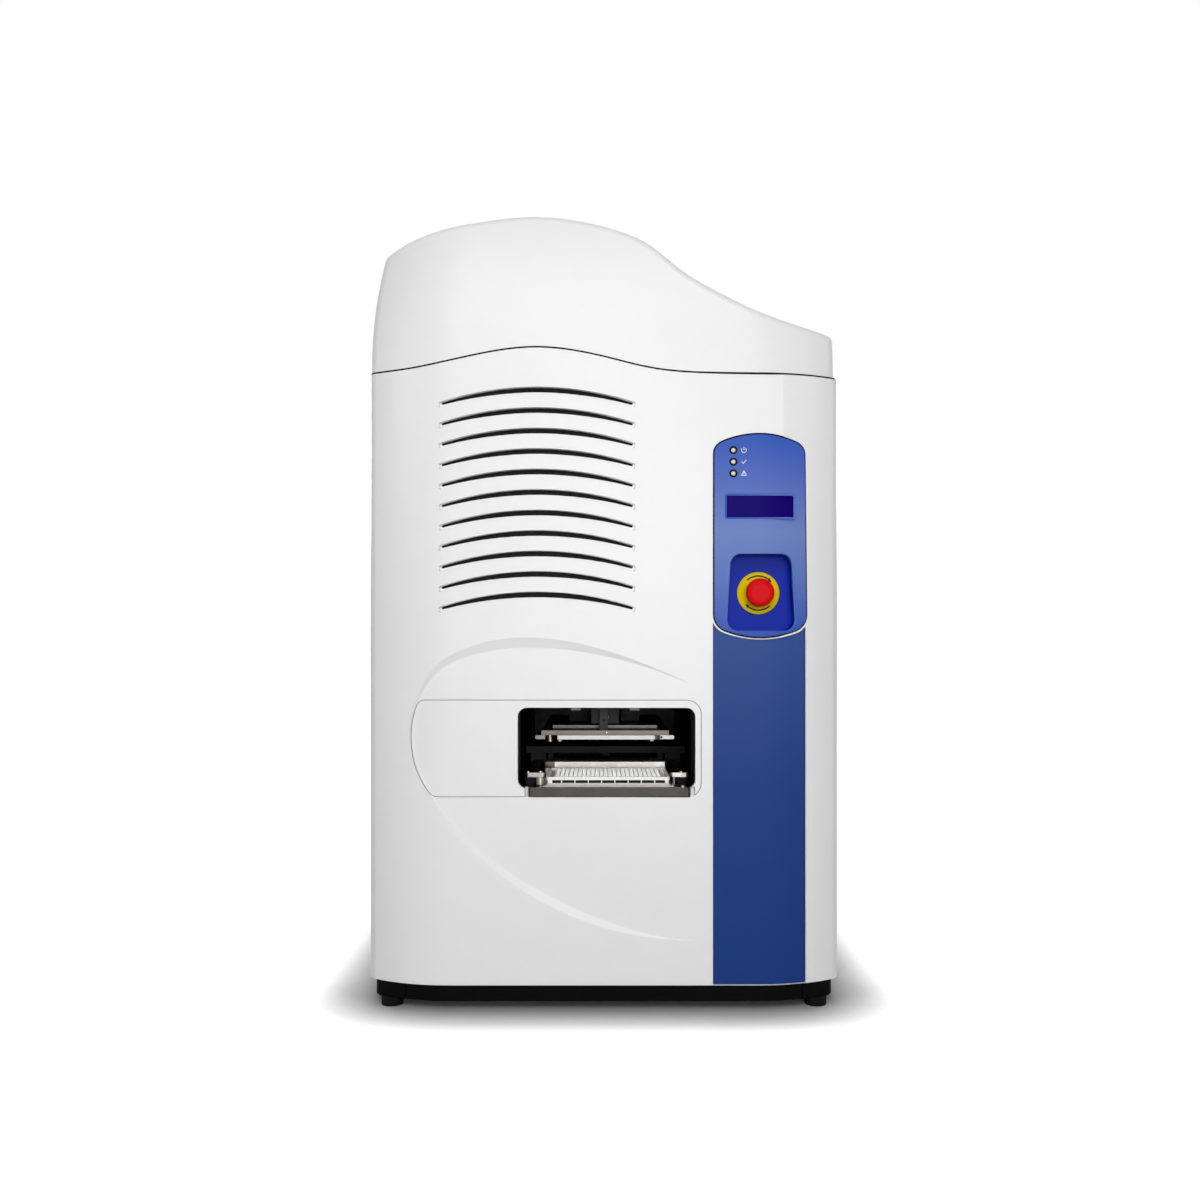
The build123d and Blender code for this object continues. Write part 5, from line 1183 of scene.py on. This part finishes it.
# %% Rear screws
guard_low, guard_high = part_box("fan_guards")
REAR_SHEET_Y = cad_box[1].y - 14 * MM
BACKWARD = Vector((0, 1, 0))
SCREW_X, SCREW_LEVELS = 196 * MM, (50, 190, 330, 470, 600)
rear_screws = bmesh.new()
for x in (-SCREW_X, SCREW_X):
    for z in SCREW_LEVELS:
        screw(rear_screws, Vector((x, REAR_SHEET_Y, z * MM)), BACKWARD, 3.6 * MM, 2.2 * MM)
GUARD_SCREW = 35.5 * MM
FAN_X, FAN_Z = 62 * MM, (guard_low.z + guard_high.z) / 2
for fan_x in (-FAN_X, FAN_X):
    for dx in (-GUARD_SCREW, GUARD_SCREW):
        for dz in (-GUARD_SCREW, GUARD_SCREW):
            spot = Vector((fan_x + dx, REAR_SHEET_Y + 2.5 * MM, FAN_Z + dz))
            screw(rear_screws, spot, BACKWARD, 3.0 * MM, 1.8 * MM)
finished("rear_screws", rear_screws, zinc_steel, "cabinet")

# %% [markdown]
# ## Rear louvres
# Louvres pressed into the rear sheet let the air in. Each is a low rounded hood, raised through a few
# insets, with a black piece of painted shade for the dark opening below it. They are pressed relief of a
# thin sheet, so they need no solid of their own.

# %% Rear louvres
LOUVRE_WIDTH, LOUVRE_HEIGHT, LOUVRE_PITCH = 78 * MM, 9 * MM, 17 * MM
LOUVRE_COLUMNS = (-100 * MM, 0, 100 * MM)
LOUVRE_ROWS, LOUVRE_FOOT = 9, 190 * MM
LEFTWARD = Vector((-1, 0, 0))
HOOD_LEVELS = mm((0, -0.2), (0.2, 0.6), (1.0, 1.9), (2.2, 2.8), (3.6, 3.2))
OPENING_WIDTH, OPENING_HEIGHT = LOUVRE_WIDTH - 8 * MM, 2.4 * MM
OPENING_LEVELS = mm((0, -0.2), (0, 0.08))
louvres, opening_shades = bmesh.new(), bmesh.new()
for x in LOUVRE_COLUMNS:
    for row in range(LOUVRE_ROWS):
        hood = Vector((x, REAR_SHEET_Y, LOUVRE_FOOT + row * LOUVRE_PITCH))
        opening = hood - UP * (LOUVRE_HEIGHT / 2 + 0.6 * MM)
        stack(louvres, hood, LOUVRE_WIDTH, LOUVRE_HEIGHT, 4.4 * MM, HOOD_LEVELS, BACKWARD, LEFTWARD)
        # Painted shade: a black piece stands for the opening under each hood.
        stack(opening_shades, opening, OPENING_WIDTH, OPENING_HEIGHT, 1.1 * MM, OPENING_LEVELS, BACKWARD, LEFTWARD)
finished("rear_louvres", louvres, white_coated, "cabinet", 60)
finished("louvre_opening_shade", opening_shades, plate_shadow, "cabinet")

# %% [markdown]
# ## Socket shells
# The data sockets have folded metal shells, the mains inlet has three flat pins, and both plates are
# screwed on. The shells are a small section carried round a rectangle, the pins are tall blocks.

# %% Socket shells
SOCKET_Z = 92 * MM
INLET_X, DATA_X = -150 * MM, 120 * MM
SHELL_HALF_WIDTH, SHELL_HALF_HEIGHT = 6.1 * MM, 4.6 * MM
SHELL_SECTION = mm((-0.5, -5), (-0.5, 0.1), (0.35, 0.1), (0.35, -5))
shells = bmesh.new()
for dx in (-30, -12):
    shell_mid = Vector((DATA_X + dx * MM, REAR_SHEET_Y + 3.1 * MM, SOCKET_Z - 0.5 * MM))
    shell_line = [shell_mid + Vector((sx * SHELL_HALF_WIDTH, 0, sz * SHELL_HALF_HEIGHT))
                  for sx, sz in ((-1, -1), (-1, 1), (1, 1), (1, -1))]
    sweep(shells, shell_line, SHELL_SECTION, front=BACKWARD, closed=True)
for dx, dz in ((-7, -2), (0, 3), (7, -2)):
    pin_foot = Vector((INLET_X + dx * MM, REAR_SHEET_Y - 14 * MM, SOCKET_Z + dz * MM))
    stack(shells, pin_foot, 2.2 * MM, 4.2 * MM, 0.3 * MM, mm((0, -2), (0, 13.8), (0.4, 14.3)),
          BACKWARD, LEFTWARD)
for plate_x, half, face, radius, height in ((DATA_X, 42.5, 1.5, 2.2, 1.5), (INLET_X, 20.5, 2.5, 2.0, 1.3)):
    for dx in (-half, half):
        spot = Vector((plate_x + dx * MM, REAR_SHEET_Y + face * MM, SOCKET_Z))
        screw(shells, spot, BACKWARD, radius * MM, height * MM)
finished("socket_shells", shells, zinc_steel, "cabinet")
